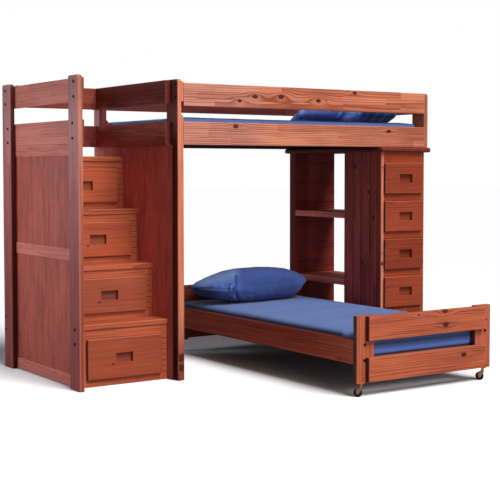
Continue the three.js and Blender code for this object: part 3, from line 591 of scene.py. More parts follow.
# The loft's back rails and the tower's lower back rail have finishes darkened as painted shade.
for name, wood in (("loft_back_upper_rail", paintedShadeFarRail), ("loft_back_lower_rail", paintedShadeFarRail),
                   ("tower_back_upper_rail", backRed), ("tower_back_lower_rail", paintedShadeBack)):
    dress(name, makeWood(name, wood, [whole(name, "x")], (), 1.0))
for name in ("left_upper_rail", "left_lower_rail"):
    dress(name, makeWood(name, sidePine, [whole(name, "y"), frontEnd(name, endRed)], (), 0.6))
for name in ("loft_end_upper_rail", "loft_end_lower_rail"):
    dress(name, makeWood(name, pine, [whole(name, "y")], (), 0.6))
# The right rails' finishes are painted shade.
for name, wood in (("right_upper_rail", paintedShadeDeep), ("right_lower_rail", paintedShadeMid)):
    dress(name, makeWood(name, wood, [whole(name, "y"), frontEnd(name, endRed)], (), 0.5))


# How deep the painted shade along a rolling rail's top edge reaches.
rollRailRim = 0.003


# A side rail of the rolling bed, with painted shade along its top edge where the mattress meets it.
def rollRailWood(name):
    lo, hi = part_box(name)
    top = boardPart((lo.x, lo.y, hi.z - rollRailRim), hi, "y", paintedShadePine)
    return makeWood(name, rollPine, [whole(name, "y"), top], (), 0.5)


for name in ("roll_left_rail", "roll_right_rail"):
    dress(name, rollRailWood(name))

# Painted shade darkens the posts towards the floor, and painted light brightens the right front post's upper
# part: the heights from and to which they do, and the tint there. The left posts' fronts have one tint all
# the way up, so their fade is done just over the top.
postPaintedLight = {
    "leftFace": (1.62, 1.15, (0.96, 0.67, 0.64, 1)),
    "left": (1.40, 0.60, (0.66, 0.50, 0.48, 1)),
    "leftFront": (0.87, 0.80, 0.78, 1),
    "overTop": (0.01, 0.02),
    "rightFoot": (0.42, 0.06, (0.42, 0.26, 0.22, 1)),
    "rightTop": (0.30, 0.60, (1.12, 1.03, 1.0, 1)),
    "paintedShadeDepth": 0.045,
}


# A left post, with a painted sheen on its left face.
def leftPostWood(name):
    lo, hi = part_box(name)
    side = (lo, Vector((lo.x + faceDepth, hi.y, hi.z)))
    front = (lo, Vector((hi.x, lo.y + faceDepth, hi.z)))
    regions = paintedLeftFace(name, "z", paintedSheenGrey)
    # The back post's front face, shut off from the light by the side panel, has painted shade.
    if name == "left_back_post":
        inFrom = (lo.x + faceDepth, lo.y, lo.z)
        regions.append(boardPart(inFrom, (hi.x, lo.y + faceDepth, hi.z), "z", paintedShadePine))
    # Painted shade darkens the left face and the whole post lower down.
    fades = [(2, *postPaintedLight["leftFace"], side), (2, *postPaintedLight["left"])]
    done, start = (hi.z + over for over in postPaintedLight["overTop"])
    fades.append((2, start, done, postPaintedLight["leftFront"], front))
    return makeWood(name, pine, regions, (), 0.4, (), fades)


# The right front post's left face has painted shade.
def rightFrontWood(name):
    knots = frontKnots(name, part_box(name)[0].y)
    # Painted shade darkens the foot, and painted light brightens the upper part.
    fades = [(2, *postPaintedLight[key]) for key in ("rightFoot", "rightTop")]
    return makeWood(name, pine, paintedLeftFace(name, "z", paintedShadePine), knots, 0.4, (), fades)


# The right back post: painted light gives its left face a pinker tone, and painted shade darkens its front
# part.
def rightBackWood(name):
    lo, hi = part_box(name)
    paintedShadeStrip = boardPart(lo, (hi.x, lo.y + postPaintedLight["paintedShadeDepth"], hi.z), "z", paintedShadeBack)
    return makeWood(name, pine, paintedLeftFace(name, "z", paintedLitPink) + [paintedShadeStrip], (), 0.4)


for name in ("left_front_post", "left_back_post"):
    dress(name, leftPostWood(name))
dress("right_front_post", rightFrontWood("right_front_post"))
dress("right_back_post", rightBackWood("right_back_post"))
for name in ("loft_end_front_post", "loft_end_back_post"):
    dress(name, makeWood(name, upperRail, [whole(name, "z")], (), 0.4))
# The foot's posts and boards have painted shade on their left faces.
for name in ("foot_left_post", "foot_right_post"):
    dress(name, makeWood(name, footPine, paintedLeftFace(name, "z", paintedShadePine), (), 0.4))
for name in ("foot_upper_board", "foot_lower_board"):
    dress(name, makeWood(name, footPine, paintedLeftFace(name, "x", paintedShadePine), frontKnots(name, boardY), 0.0))
for name in ("bookcase_upper_shelf", "bookcase_lower_shelf"):
    dress(name, makeWood(name, shelfWood, [whole(name, "y")], (), 0.5))
dress("end_unit_top", makeWood("end_unit_top", endUnitWood, [whole("end_unit_top", "y")], (), 0.5))

# How far each drawer's tone is from its finish, and where its pull's middle is.
drawerTone = {
    "stair_drawer_1": ((0.79, 0.74, 0.75, 1), -0.007), "stair_drawer_2": ((0.82, 0.88, 0.96, 1), -0.008),
    "stair_drawer_3": ((1.0, 1.0, 1.0, 1), 0.010), "stair_drawer_4": ((1.1, 1.1, 1.1, 1), 0.011),
    "chest_drawer_1": ((0.95, 0.95, 0.95, 1), 0.015), "chest_drawer_2": ((1.0, 1.0, 1.0, 1), 0.015),
    "chest_drawer_3": ((0.80, 0.70, 0.70, 1), 0.015), "chest_drawer_4": ((0.95, 0.95, 0.95, 1), 0.015),
    "chest_drawer_5": ((0.90, 0.85, 0.85, 1), 0.015),
}
# A pull's hollow is darkened by its tone, as painted shade.
pullHollow = {"half": (0.0575, 0.0305), "from": 0.003, "to": 0.025, "tone": 0.72}
drawerFront = {"board": 0.02, "toned": (0.05, 0.04)}


# The finish of a drawer pull's hollow: painted shade, darker than its board's.
def paintedRecessShade(finish, amount):
    colours = {key: [c * amount for c in finish[key][:3]] for key in ("light", "dark")}
    return stain(tuple(colours["light"]), tuple(colours["dark"]), finish["rings"], finish["gloss"])


def drawerWood(name):
    lo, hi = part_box(name)
    wood = chestPine if name.startswith("chest") else drawerPine
    tone, shift = drawerTone[name]
    x, z = (lo.x + hi.x) / 2 + shift, (lo.z + hi.z) / 2
    halfX, halfZ = pullHollow["half"]
    hollow = boardPart((x - halfX, lo.y + pullHollow["from"], z - halfZ),
                       (x + halfX, lo.y + pullHollow["to"], z + halfZ), "x", paintedRecessShade(wood, pullHollow["tone"]))
    front = boardPart(lo, (hi.x, lo.y + drawerFront["board"], hi.z), "x")
    # Each drawer's left face has painted shade.
    regions = [front, paintedLeftFace(name, "x", paintedShadePine)[1], hollow]
    start, end = drawerFront["toned"]
    fades = [(1, lo.y + start, lo.y + end, tone)]
    return makeWood(name, wood, regions, frontKnots(name, lo.y), 0.0, (), fades)


for name in [n for n in nodes if "_drawer_" in n]:
    dress(name, drawerWood(name))
# The loft's slat deck has a dark finish as painted shade.
for name, wood in (("loft_slat_deck", paintedShadeDeck), ("roll_slat_deck", rawPine)):
    dress(name, makeWood(name, wood, [whole(name, "x")]))

headBoards = {"low": 0.146, "high": 0.142}


# The headboard's two boards run across between its posts. Its finish is painted shade, as the right lower
# rail's is.
def headWood():
    lo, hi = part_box("headboard")
    low = boardPart(lo, (hi.x, hi.y, lo.z + headBoards["low"]), "x")
    high = boardPart((lo.x, lo.y, hi.z - headBoards["high"]), hi, "x")
    return makeWood("headboard", paintedShadeMid, [whole("headboard", "z"), low, high])


dress("headboard", headWood())


stairStep = {"tread": 0.033, "stile": 0.046, "frame": 0.03, "firstTick": 0.05, "tickGap": 0.034, "ticks": 7,
             "tickWidth": 0.0026, "tickEnd": 0.004}


# A step's tread and rails run across, and the two stiles of its frame run up. Short dark marks cross the
# right one.
def stepWood(name):
    lo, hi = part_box(name)
    stile, back = stairStep["stile"], lo.y + stairStep["frame"]
    under = hi.z - stairStep["tread"]
    regions = [boardPart((lo.x, lo.y, under), hi, "x"), boardPart(lo, (hi.x, back, under), "x", framePine)]
    for left, right in ((lo.x, lo.x + stile), (hi.x - stile, hi.x)):
        regions.append(boardPart((left, lo.y, lo.z), (right, back, under), "z", framePine))
    ticks = [lo.z + stairStep["firstTick"] + stairStep["tickGap"] * i for i in range(stairStep["ticks"])]
    tickBox = (Vector((hi.x - stile, lo.y, lo.z)), Vector((hi.x - stairStep["tickEnd"], back, under)))
    return makeWood(name, framePine, regions, (), 0.3, [(2, ticks, stairStep["tickWidth"], tickBox)])


for k in range(4):
    name = "stair_step_%d" % (k + 1)
    dress(name, stepWood(name))


# Joints are from the chest's front, and knots are the left wall's: along it, up it, and radius.
chest = {
    "frame": 0.020, "stile": 0.0235, "skin": 0.003, "wall": 0.019,
    "joints": (0.042, 0.118, 0.212, 0.300), "jointWidth": 0.004,
    "knots": ((0.249, 1.297, 0.014), (0.108, 1.122, 0.011), (0.053, 0.946, 0.012), (0.174, 0.637, 0.010)),
}


# The chest's frame is finished as its drawers are, with a paler left stile, and its wall is darker.
def chestWood():
    lo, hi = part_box("chest_case")
    back, stile = lo.y + chest["frame"], chest["stile"]
    regions = [
        boardPart(lo, (lo.x + chest["wall"], hi.y, hi.z), "z"),
        boardPart(lo, (hi.x, back, hi.z), "x", chestPine),
        boardPart(lo, (lo.x + stile, back, hi.z), "z", pine),
        boardPart((hi.x - stile, lo.y, lo.z), (hi.x, back, hi.z), "z", chestPine),
        boardPart(lo, (lo.x + chest["skin"], hi.y, hi.z), "z", caseWood),
    ]
    # The dark lines at the wall's joints are partly stain gathered in them and partly painted shade in their
    # grooves.
    joints = [lo.y + at for at in chest["joints"]]
    knots = [((lo.x, y, z), radius) for y, z, radius in chest["knots"]]
    return makeWood("chest_case", caseWood, regions, knots, 0.6, [(1, joints, chest["jointWidth"])])


# Shade and its tint are a painted shadow over the end's left part.
bookcaseEnd = {"stile": 0.03, "plank": 0.147, "jointWidth": 0.003, "shade": (0.45, 0.28),
               "shadeTint": (0.52, 0.42, 0.40, 1)}


# The bookcase's end is of level planks, with a stile at its left, and painted shadow darkens its left third.
def endWood():
    lo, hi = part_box("bookcase_end_panel")
    planks = boardPart((lo.x + bookcaseEnd["stile"], lo.y, lo.z), hi, "x")
    joints = [bookcaseEnd["plank"] * i for i in range(1, 10)]
    start, end = (lo.x + (hi.x - lo.x) * part for part in bookcaseEnd["shade"])
    return makeWood("bookcase_end_panel", bookWood, [whole("bookcase_end_panel", "z"), planks], (), 0.8,
                    [(2, joints, bookcaseEnd["jointWidth"])], [(0, start, end, bookcaseEnd["shadeTint"])])


dress("chest_case", chestWood())
dress("bookcase_end_panel", endWood())


plyBatten = {"pith": (0.0, 0.02, 0.08), "strips": 0.3}
plyEdge = {"soft": 0.001, "strength": 0.9, "colour": (0.045, 0.007, 0.005, 1)}


# Plywood with its flames upright, and pine battens on its outer face. Its front edge may be dark.
def makePly(name, finish, battens=(), frontY=None):
    material, tree, shader, point = startMaterial(name)
    local = split(tree, point)
    place = combine(tree, local[2], local[1], local[0])
    rng = random.Random(name)
    wood = useGroup(tree, stainedPly, {"Place": place, "Seed": round(rng.uniform(0, 9), 3),
                                       "Light": finish["light"], "Dark": finish["dark"]})
    colour, rough, height = wood["Colour"], wood["Roughness"], wood["Height"]
    for box in battens:
        here, inside, rim, _ = boardPlace(tree, point, {"box": box, "grain": "y"})
        strip = useGroup(tree, stainedPine, {
            "Place": here, "Pith": plyBatten["pith"], "Seed": rng.uniform(0, 9),
            "Strips": plyBatten["strips"], "Rings": battenPine["rings"], "Knot": 0.0, "Seam": 0.0,
            "Edge": rim, "Light": battenPine["light"], "Dark": battenPine["dark"]})
        colour = mixColour(tree, inside, colour, strip["Colour"])
        height = mixValue(tree, inside, height, strip["Height"])
    if frontY is not None:
        depth = frontY + faceDepth
        edge = ramp(tree, local[1], depth, depth - plyEdge["soft"], (0.0, plyEdge["strength"]))
        colour = mixColour(tree, edge, colour, plyEdge["colour"])
    finishWood(tree, shader, {"Colour": colour, "Roughness": rough, "Height": height}, finish)
    return material


batten = {"thick": 0.0045, "tall": 0.066, "end": 0.076, "middleTop": 0.813, "proud": 0.001}


# The three battens of a side panel, on its left or right face.
def battenBoxes(name, side):
    lo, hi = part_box(name)
    thick, tall, end, proud = (batten[key] for key in ("thick", "tall", "end", "proud"))
    left = lo.x - proud if side == "left" else hi.x - thick + proud
    right = lo.x + thick - proud if side == "left" else hi.x + proud
    tops = (hi.z, batten["middleTop"], lo.z + tall)
    return [(Vector((left, lo.y + end, top - tall)), Vector((right, hi.y - end, top))) for top in tops]


for name, wood, frontY in (("left_side_panel", plyWood, None),
                           ("right_side_panel", redPly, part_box("right_side_panel")[0].y)):
    dress(name, makePly(name, wood, battenBoxes(name, name.split("_")[0]), frontY))
dress("stair_base_and_back", makePly("stair_base_and_back", plyWood))

print("stage: metal and rubber")


hardware = {
    "copperSteel": {"clean": (0.85, 0.40, 0.27, 1), "worn": (0.45, 0.18, 0.12, 1), "scale": 180.0,
                    "detail": 3.0, "from": 0.35, "to": 0.7, "rough": (0.18, 0.34), "Metallic": 1.0},
    "blackTyre": {"clean": (0.003, 0.003, 0.004, 1), "worn": (0.010, 0.009, 0.010, 1), "scale": 140.0,
                  "detail": 4.0, "from": 0.4, "to": 0.75, "rough": (0.2, 0.4), "Specular IOR Level": 0.3},
    "blackBolt": {"clean": (0.002, 0.0015, 0.002, 1), "worn": (0.006, 0.004, 0.005, 1), "scale": 400.0,
                  "detail": 2.0, "from": 0.3, "to": 0.7, "Roughness": 0.6, "Specular IOR Level": 0.15},
}


# Metal or rubber with wear or dust on it.
def makeHardware(name):
    values = hardware[name]
    material, tree, shader, point = startMaterial(name)
    wear = noise(tree, point, values["scale"], values["detail"])
    worn = ramp(tree, wear, values["from"], values["to"])
    tree.links.new(mixColour(tree, worn, values["clean"], values["worn"]), shader.inputs["Base Color"])
    if "rough" in values:
        tree.links.new(ramp(tree, wear, 0.3, 0.7, values["rough"]), shader.inputs["Roughness"])
    for label in ("Metallic", "Roughness", "Specular IOR Level"):
        if label in values:
            shader.inputs[label].default_value = values[label]
    return material


copper = makeHardware("copperSteel")
tyre = makeHardware("blackTyre")
for ending, material, bevel in (("_fork", copper, 0.0004), ("_wheel", tyre, 0.0008)):
    for name in [n for n in nodes if n.endswith(ending)]:
        dress(name, material, bevel)

print("stage: bolts")

# Socket-headed bolts of the joints in view, and a few on the far side to match.
boltHead = {"radius": 0.0085, "height": 0.0034, "rim": 0.0010, "rimRise": 0.6, "socket": 0.0042,
            "depth": 0.0018, "sunk": 0.0004, "sides": 24}


# One bolt head about the origin, facing up: a cylinder with a raised rim and a sunk socket.
def boltPrototype():
    bpy.ops.object.select_all(action="DESELECT")
    middle = boltHead["height"] / 2 - boltHead["sunk"]
    bpy.ops.mesh.primitive_cylinder_add(vertices=boltHead["sides"], radius=boltHead["radius"],
                                        depth=boltHead["height"], location=(0, 0, middle))
    head = bpy.context.object
    bpy.ops.object.transform_apply(location=True, rotation=True, scale=True)
    for face in head.data.polygons:
        face.select = face.normal.z > 0.9
    bpy.ops.object.mode_set(mode="EDIT")
    bpy.ops.mesh.select_mode(type="FACE")
    bpy.ops.mesh.inset(thickness=boltHead["rim"])
    bpy.ops.transform.translate(value=(0, 0, boltHead["rim"] * boltHead["rimRise"]))
    bpy.ops.mesh.inset(thickness=boltHead["radius"] - boltHead["rim"] - boltHead["socket"])
    bpy.ops.mesh.extrude_region_move(TRANSFORM_OT_translate={"value": (0, 0, -boltHead["depth"])})
    bpy.ops.object.mode_set(mode="OBJECT")
    return head


# Copies of the bolt head at their places, joined into one piece that rides on a body.
def placeBolts(name, body, places, material):
    head = boltPrototype()
    copies = []
    for (x, y, z), facing, scale in places:
        turn = Vector(facing).to_track_quat("Z", "Y").to_matrix().to_4x4()
        one = bpy.data.objects.new(name, head.data.copy())
        one.data.transform(Matrix.Translation((x, y, z)) @ turn @ Matrix.Scale(scale, 4))
        scene.collection.objects.link(one)
        copies.append(one)
    bpy.data.objects.remove(head)
    bpy.ops.object.select_all(action="DESELECT")
    for one in copies:
        one.select_set(True)
    bpy.context.view_layer.objects.active = copies[0]
    bpy.ops.object.join()
    joined = bpy.context.object
    joined.name = name
    joined.data.materials.clear()
    joined.data.materials.append(material)
    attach(joined, body)


# Each post's bolts: along Y from its front face, and height.
boltRows = {
    "left_front_post": ((0.053, 1.783), (0.053, 1.696), (0.070, 1.545), (0.070, 1.458), (0.060, 0.357),
                        (0.060, 0.272)),
    "left_back_post": ((0.072, 1.780), (0.072, 1.695), (0.039, 1.537), (0.039, 1.449), (0.104, 0.327),
                       (0.104, 0.245)),
    "right_front_post": ((0.015, 1.794), (0.015, 1.711), (0.057, 1.545), (0.057, 1.458), (0.069, 0.357),
                         (0.069, 0.265)),
    "right_back_post": ((0.113, 1.780), (0.113, 1.695), (0.113, 1.537)),
    "loft_end_front_post": ((0.064, 1.765), (0.064, 1.695), (0.064, 1.532), (0.064, 1.462)),
    "loft_end_back_post": ((0.064, 1.765), (0.064, 1.695), (0.064, 1.532), (0.064, 1.462)),
}
# Bolts of the foot end: along X, and height.
footRows = ((-0.0765, 0.297), (-0.0785, 0.208), (0.8635, 0.305), (0.8685, 0.371), (0.8665, 0.093))
railGap = 0.0003  # between a rail and the post that it is bolted to
chestScrews = {"in": 0.012, "heights": (1.290, 0.709), "scale": 0.45}


# Left posts carry their bolts outside, right ones on their inner face, and the loft's end posts at the far
# end. Two small screws are in the chest's front.
def towerBolts():
    seats = {"left": (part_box("left_front_post")[0].x, (-1, 0, 0)),
             "right": (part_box("right_upper_rail")[1].x + railGap, (-1, 0, 0)),
             "loft": (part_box("loft_end_front_post")[1].x, (1, 0, 0))}
    places = []
    for post, rows in boltRows.items():
        x, facing = seats[post.split("_")[0]]
        places += [((x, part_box(post)[0].y + y, z), facing, 1.0) for y, z in rows]
    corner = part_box("chest_case")[0]
    return places + [((corner.x + chestScrews["in"], corner.y, z), (0, -1, 0), chestScrews["scale"])
                     for z in chestScrews["heights"]]


footBolts = [((x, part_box("foot_left_post")[0].y, z), (0, -1, 0), 1.0) for x, z in footRows]
boltBlack = makeHardware("blackBolt")
placeBolts("tower_bolts", "frame", towerBolts(), boltBlack)
placeBolts("foot_bolts", "rolling_bed", footBolts, boltBlack)

print("stage: bedding")


# The painted highlight is the colour of the lightest strokes. Shade is painted shade, darker lower down: a
# height from which the cloth darkens, the height where it is done, and how much it has darkened there.
cloths = {
    "blueCloth": {"light": (0.095, 0.158, 0.360, 1), "dark": (0.065, 0.116, 0.29, 1),
                  "paintedHighlight": (0.12, 0.22, 0.70, 1)},
    "loftCloth": {"light": (0.074, 0.120, 0.285, 1), "dark": (0.052, 0.090, 0.23, 1),
                  "paintedHighlight": (0.15, 0.25, 0.60, 1)},
    "pillowCloth": {"light": (0.054, 0.100, 0.330, 1), "dark": (0.038, 0.073, 0.265, 1),
                    "paintedHighlight": (0.27, 0.41, 0.82, 1), "shade": (0.45, 0.38, 0.30)},
    "navyCloth": {"light": (0.13, 0.215, 0.62, 1), "dark": (0.065, 0.110, 0.36, 1),
                  "paintedHighlight": (0.38, 0.56, 1.0, 1)},
}
# Both dark colours are painted shade: one lower down a pillow, one along the darkest strokes.
clothFinish = {"weave": 900.0, "fold": 7.0, "speck": 60.0, "bump": 0.3, "thread": 0.0004,
               "paintedShadeColour": (0.004, 0.007, 0.035, 1), "paintedShadowColour": (0.004, 0.007, 0.030, 1),
               "sockets": {"Roughness": 0.85, "Sheen Weight": 0.1, "Specular IOR Level": 0.2}}


# Woven cotton. The cover's own tone attribute lays painted highlights and painted shade along its folds.
def makeCloth(name):
    values = cloths[name]
    material, tree, shader, point = startMaterial(name)
    weave = noise(tree, point, clothFinish["weave"], 2.0)
    fold = noise(tree, point, clothFinish["fold"], 3.0)
    speck = noise(tree, point, clothFinish["speck"], 3.0)
    faded, specked = ramp(tree, fold, 0.3, 0.7, (0.0, 0.5)), ramp(tree, speck, 0.3, 0.7, (0.0, 0.4))
    colour = mixColour(tree, calc(tree, "ADD", faded, specked, clamp=True), values["light"], values["dark"])
    # Painted shade, darker lower down.
    if "shade" in values:
        start, end, strength = values["shade"]
        shade = ramp(tree, split(tree, point)[2], start, end, (0.0, strength))
        colour = mixColour(tree, shade, colour, clothFinish["paintedShadeColour"])
    tone = addNode(tree, "Attribute", attribute_name="tone").outputs["Fac"]
    colour = mixColour(tree, ramp(tree, tone, 0.0, 1.0, smooth=False), colour, values["paintedHighlight"])
    colour = mixColour(tree, ramp(tree, tone, 0.0, -1.0, smooth=False), colour, clothFinish["paintedShadowColour"])
    tree.links.new(colour, shader.inputs["Base Color"])
    bump = addNode(tree, "Bump", {"Strength": clothFinish["bump"], "Distance": clothFinish["thread"],
                                  "Height": weave})
    tree.links.new(bump.outputs["Normal"], shader.inputs["Normal"])
    for label, value in clothFinish["sockets"].items():
        shader.inputs[label].default_value = value
    return material


# Strokes of painted highlight and painted shade on the cloth: how wide and how strong they are, and the
# points that they pass.
lowPaintedLight = [
    (0.035, 0.60, ((-0.072, 0.713, 0.502), (0.003, 0.627, 0.543), (0.134, 0.603, 0.569))),
    (0.026, -0.35, ((-0.086, 0.729, 0.443), (-0.052, 0.567, 0.435), (0.048, 0.523, 0.416))),
    (0.009, -0.45, ((-0.096, 0.754, 0.459), (-0.082, 0.620, 0.474), (-0.031, 0.525, 0.475),
                    (0.054, 0.495, 0.469))),
    (0.006, 0.30, ((0.049, 0.504, 0.492), (0.046, 0.497, 0.459))),
    (0.007, -0.60, ((0.064, 0.498, 0.482), (0.059, 0.499, 0.448))),
    (0.007, -0.60, ((0.036, 0.515, 0.502), (0.029, 0.502, 0.453))),
    (0.009, -0.50, ((0.119, 0.561, 0.552), (0.087, 0.507, 0.503), (0.081, 0.496, 0.450),
                    (0.120, 0.533, 0.397))),
    (0.026, -0.35, ((0.139, 0.512, 0.415), (0.363, 0.525, 0.417), (0.597, 0.540, 0.440))),
    (0.050, -0.50, ((0.170, 0.510, 0.500), (0.361, 0.521, 0.495), (0.585, 0.548, 0.495))),
]
slotPaintedLight = [
    (0.022, -1.00, ((-0.094, 0.860, 0.330), (-0.094, 0.000, 0.331), (-0.094, -0.850, 0.333))),
    (0.026, 0.85, ((0.045, -1.003, 0.239), (0.406, -1.001, 0.240), (0.785, -1.004, 0.241))),
    (0.013, -0.60, ((0.048, -0.998, 0.283), (0.410, -0.996, 0.280), (0.789, -0.999, 0.280))),
]
highPaintedLight = [
    (0.018, 0.16, ((0.823, 0.740, 1.695), (0.824, 0.564, 1.684), (0.833, 0.391, 1.672))),
    (0.020, -0.55, ((0.815, 0.766, 1.649), (0.830, 0.571, 1.638), (0.849, 0.401, 1.631))),
    (0.010, 0.20, ((0.813, 0.776, 1.674), (0.826, 0.744, 1.700))),
    (0.010, 0.90, ((0.849, 0.378, 1.634), (0.838, 0.342, 1.652), (0.839, 0.321, 1.669))),
    (0.008, -0.60, ((0.860, 0.347, 1.628), (0.847, 0.313, 1.644), (0.843, 0.287, 1.663))),
    (0.024, 1.00, ((0.867, 0.300, 1.629), (0.859, 0.235, 1.651), (0.873, 0.187, 1.666))),
    (0.055, -0.85, ((0.925, 0.154, 1.640), (1.020, 0.139, 1.638), (1.140, 0.141, 1.641))),
    (0.005, 0.35, ((0.953, 0.208, 1.618), (0.925, 0.127, 1.663))),
    (0.005, 0.35, ((1.016, 0.198, 1.617), (0.997, 0.112, 1.660))),
    (0.005, 0.35, ((1.093, 0.203, 1.617), (1.082, 0.117, 1.658))),
]

# Folds pressed into the pillows: their depth and width, how high their lips stand, and the points that they
# pass.
lowFolds = [
    (0.006, 0.010, 0.001, ((0.118, 0.561, 0.560), (0.098, 0.528, 0.534), (0.087, 0.507, 0.506),
                           (0.078, 0.495, 0.478), (0.079, 0.496, 0.450), (0.089, 0.511, 0.421),
                           (0.120, 0.533, 0.392))),
    (0.006, 0.007, 0.002, ((-0.096, 0.754, 0.459), (-0.095, 0.702, 0.466), (-0.085, 0.640, 0.472),
                           (-0.073, 0.584, 0.476), (-0.050, 0.544, 0.478), (-0.019, 0.519, 0.476),
                           (0.019, 0.503, 0.474), (0.054, 0.495, 0.469))),
    (0.005, 0.006, 0.002, ((0.055, 0.496, 0.472), (0.041, 0.511, 0.499))),
    (0.004, 0.006, 0.001, ((0.038, 0.515, 0.502), (0.031, 0.502, 0.480), (0.038, 0.501, 0.452))),
    (0.005, 0.006, 0.002, ((0.064, 0.497, 0.451), (0.055, 0.515, 0.423), (0.047, 0.546, 0.400))),
]
highFolds = [
    (0.010, 0.010, 0.005, ((0.812, 0.750, 1.640), (0.818, 0.735, 1.680), (0.835, 0.715, 1.715))),
    (0.012, 0.012, 0.006, ((0.862, 0.400, 1.610), (0.842, 0.325, 1.647), (0.850, 0.280, 1.690))),
    (0.009, 0.009, 0.005, ((0.866, 0.230, 1.620), (0.873, 0.188, 1.657), (0.900, 0.165, 1.690))),
]

# How each end of a pillow is drawn in, above and below its seam, and how far the seam rises there.
lowForm = {"seam": 0.4658, "half": 0.455, "along": (0.9954, 0.0958, 0.0), "whole": 0.95,
           "left": {"from": 0.10, "top": 0.50, "foot": 0.22, "lift": 0.000},
           "right": {"from": 0.55, "top": 0.42, "foot": 0.62, "lift": 0.022, "draw": 0.020}}
highForm = {"seam": 1.6608, "half": 0.455, "along": (0.0593, -0.9982, 0.0), "whole": 0.97,
            "left": {"from": 0.20, "top": 0.10, "foot": 0.00, "lift": -0.050},
            "right": {"from": 0.40, "top": 0.00, "foot": -0.70, "lift": 0.004}}
# Cap is how far the air may push the cloth, and held is how high it is tied to where it lies. Square and ends
# are how far a mattress's corners are filled out, seen from above and from the front.
bedding = {
    "loft_mattress": {"body": "frame", "cloth": "loftCloth", "slot": "blue_bedding", "voxel": 0.018,
                      "cap": 0.002, "pressure": 3.0, "held": 0.05, "crease": 0.0016, "scale": 7.0,
                      "square": 1.0, "ends": 0.9},
    "roll_mattress": {"body": "rolling_bed", "cloth": "blueCloth", "slot": "blue_bedding", "voxel": 0.018,
                      "cap": 0.002, "pressure": 3.0, "held": 0.05, "crease": 0.0018, "scale": 7.0,
                      "square": 0.4, "paintedLight": slotPaintedLight},
    "roll_pillow": {"body": "rolling_bed", "cloth": "pillowCloth", "slot": "blue_bedding", "voxel": 0.0075,
                    "cap": 0.007, "pressure": 4.0, "held": 0.02, "crease": 0.0018, "scale": 16.0,
                    "folds": lowFolds, "form": lowForm, "paintedLight": lowPaintedLight},
    "loft_pillow": {"body": "frame", "cloth": "navyCloth", "slot": "navy_bedding", "voxel": 0.0085,
                    "cap": 0.007, "pressure": 4.0, "held": 0.02, "crease": 0.0030, "scale": 13.0,
                    "folds": highFolds, "form": highForm, "paintedLight": highPaintedLight},
}
swelling = {"quality": 4, "mass": 0.3, "tension_stiffness": 6, "compression_stiffness": 6,
            "bending_stiffness": 0.2, "use_pressure": True, "shrink_min": -0.02}
swellFrames = 20


def applyModifier(piece, name):
    bpy.ops.object.select_all(action="DESELECT")
    piece.select_set(True)
    bpy.context.view_layer.objects.active = piece
    bpy.ops.object.modifier_apply(modifier=name)


# A copy of a node's mesh in the scene's own coordinates, remeshed in even squares.
def remeshed(source, voxel):
    mesh = nodes[source].data.copy()
    mesh.materials.clear()
    mesh.transform(nodes[source].matrix_world)
    piece = bpy.data.objects.new(source + "_cover", mesh)
    scene.collection.objects.link(piece)
    weld = piece.modifiers.new("weld", "WELD")
    weld.merge_threshold = easing["weld"]
    applyModifier(piece, "weld")
    remesh = piece.modifiers.new("remesh", "REMESH")
    remesh.mode = "VOXEL"
    remesh.voxel_size = voxel
    applyModifier(piece, "remesh")
    return piece


# Swells a cover with a little air. No point moves further than the cap.
def plump(piece, values):
    rest = [v.co.copy() for v in piece.data.vertices]
    low = min(c.z for c in rest)
    group = piece.vertex_groups.new(name="held")
    for i, c in enumerate(rest):
        group.add([i], max(0.0, min(1.0, 1.0 - (c.z - low) / values["held"])), "REPLACE")
    cloth = piece.modifiers.new("cloth", "CLOTH")
    for key, value in swelling.items():
        setattr(cloth.settings, key, value)
    cloth.settings.uniform_pressure_force = values["pressure"]
    cloth.settings.vertex_group_mass = "held"
    cloth.settings.effector_weights.gravity = 0
    cloth.collision_settings.use_collision = False
    cloth.point_cache.frame_end = swellFrames
    for step in range(1, swellFrames + 1):
        scene.frame_set(step)
    applyModifier(piece, "cloth")
    scene.frame_set(1)
    for v, at in zip(piece.data.vertices, rest):
        move = v.co - at
        if move.length > values["cap"]:
            v.co = at + move * (values["cap"] / move.length)
    piece.vertex_groups.clear()


def easeIn(low, value):
    t = max(0.0, min(1.0, (value - low) / (1.0 - low)))
    return t * t * (3 - 2 * t)


# Draws in a pillow's two ends about its seam. It stays flat where it lies.
def drawEnds(piece, form):
    points = [v.co for v in piece.data.vertices]
    floor = min(c.z for c in points)
    middle = Vector([(min(c[i] for c in points) + max(c[i] for c in points)) / 2 for i in range(3)])
    along = Vector(form["along"])
    sides = ((form["left"], -1), (form["right"], 1))
    for c in points:
        u = (c - middle).dot(along) / form["half"]
        ends = [(easeIn(end["from"], way * u), end) for end, way in sides]
        rise = c.z - form["seam"]
        key = "top" if rise > 0 else "foot"
        rise *= form["whole"] * (1 - sum(weight * end[key] for weight, end in ends))
        c.z = max(floor, form["seam"] + rise + sum(weight * end["lift"] for weight, end in ends))
        c -= along * ends[1][0] * form["right"].get("draw", 0.0)


cornerReach = 0.036


# Fills out a mattress's rounded corners across two axes.
def squareCorners(piece, amount, axes=(0, 1)):
    points = [v.co for v in piece.data.vertices]
    lo = [min(c[i] for c in points) for i in range(3)]
    hi = [max(c[i] for c in points) for i in range(3)]
    for c in points:
        off = []
        for i in axes:
            middle = (lo[i] + hi[i]) / 2
            inner = (hi[i] - lo[i]) / 2 - cornerReach
            past = abs(c[i] - middle) - inner
            off.append((i, max(0.0, past), 1 if c[i] > middle else -1))
        far = max(past for i, past, way in off)
        if min(past for i, past, way in off) > 0:
            grow = amount * (math.hypot(off[0][1], off[1][1]) / far - 1)
            for i, past, way in off:
                c[i] += way * past * grow


# A point moved along its sight line to one distance from the eye, so that folds lie where they are seen.
eye = Vector(photoView["place"])
sightLength = 7.6


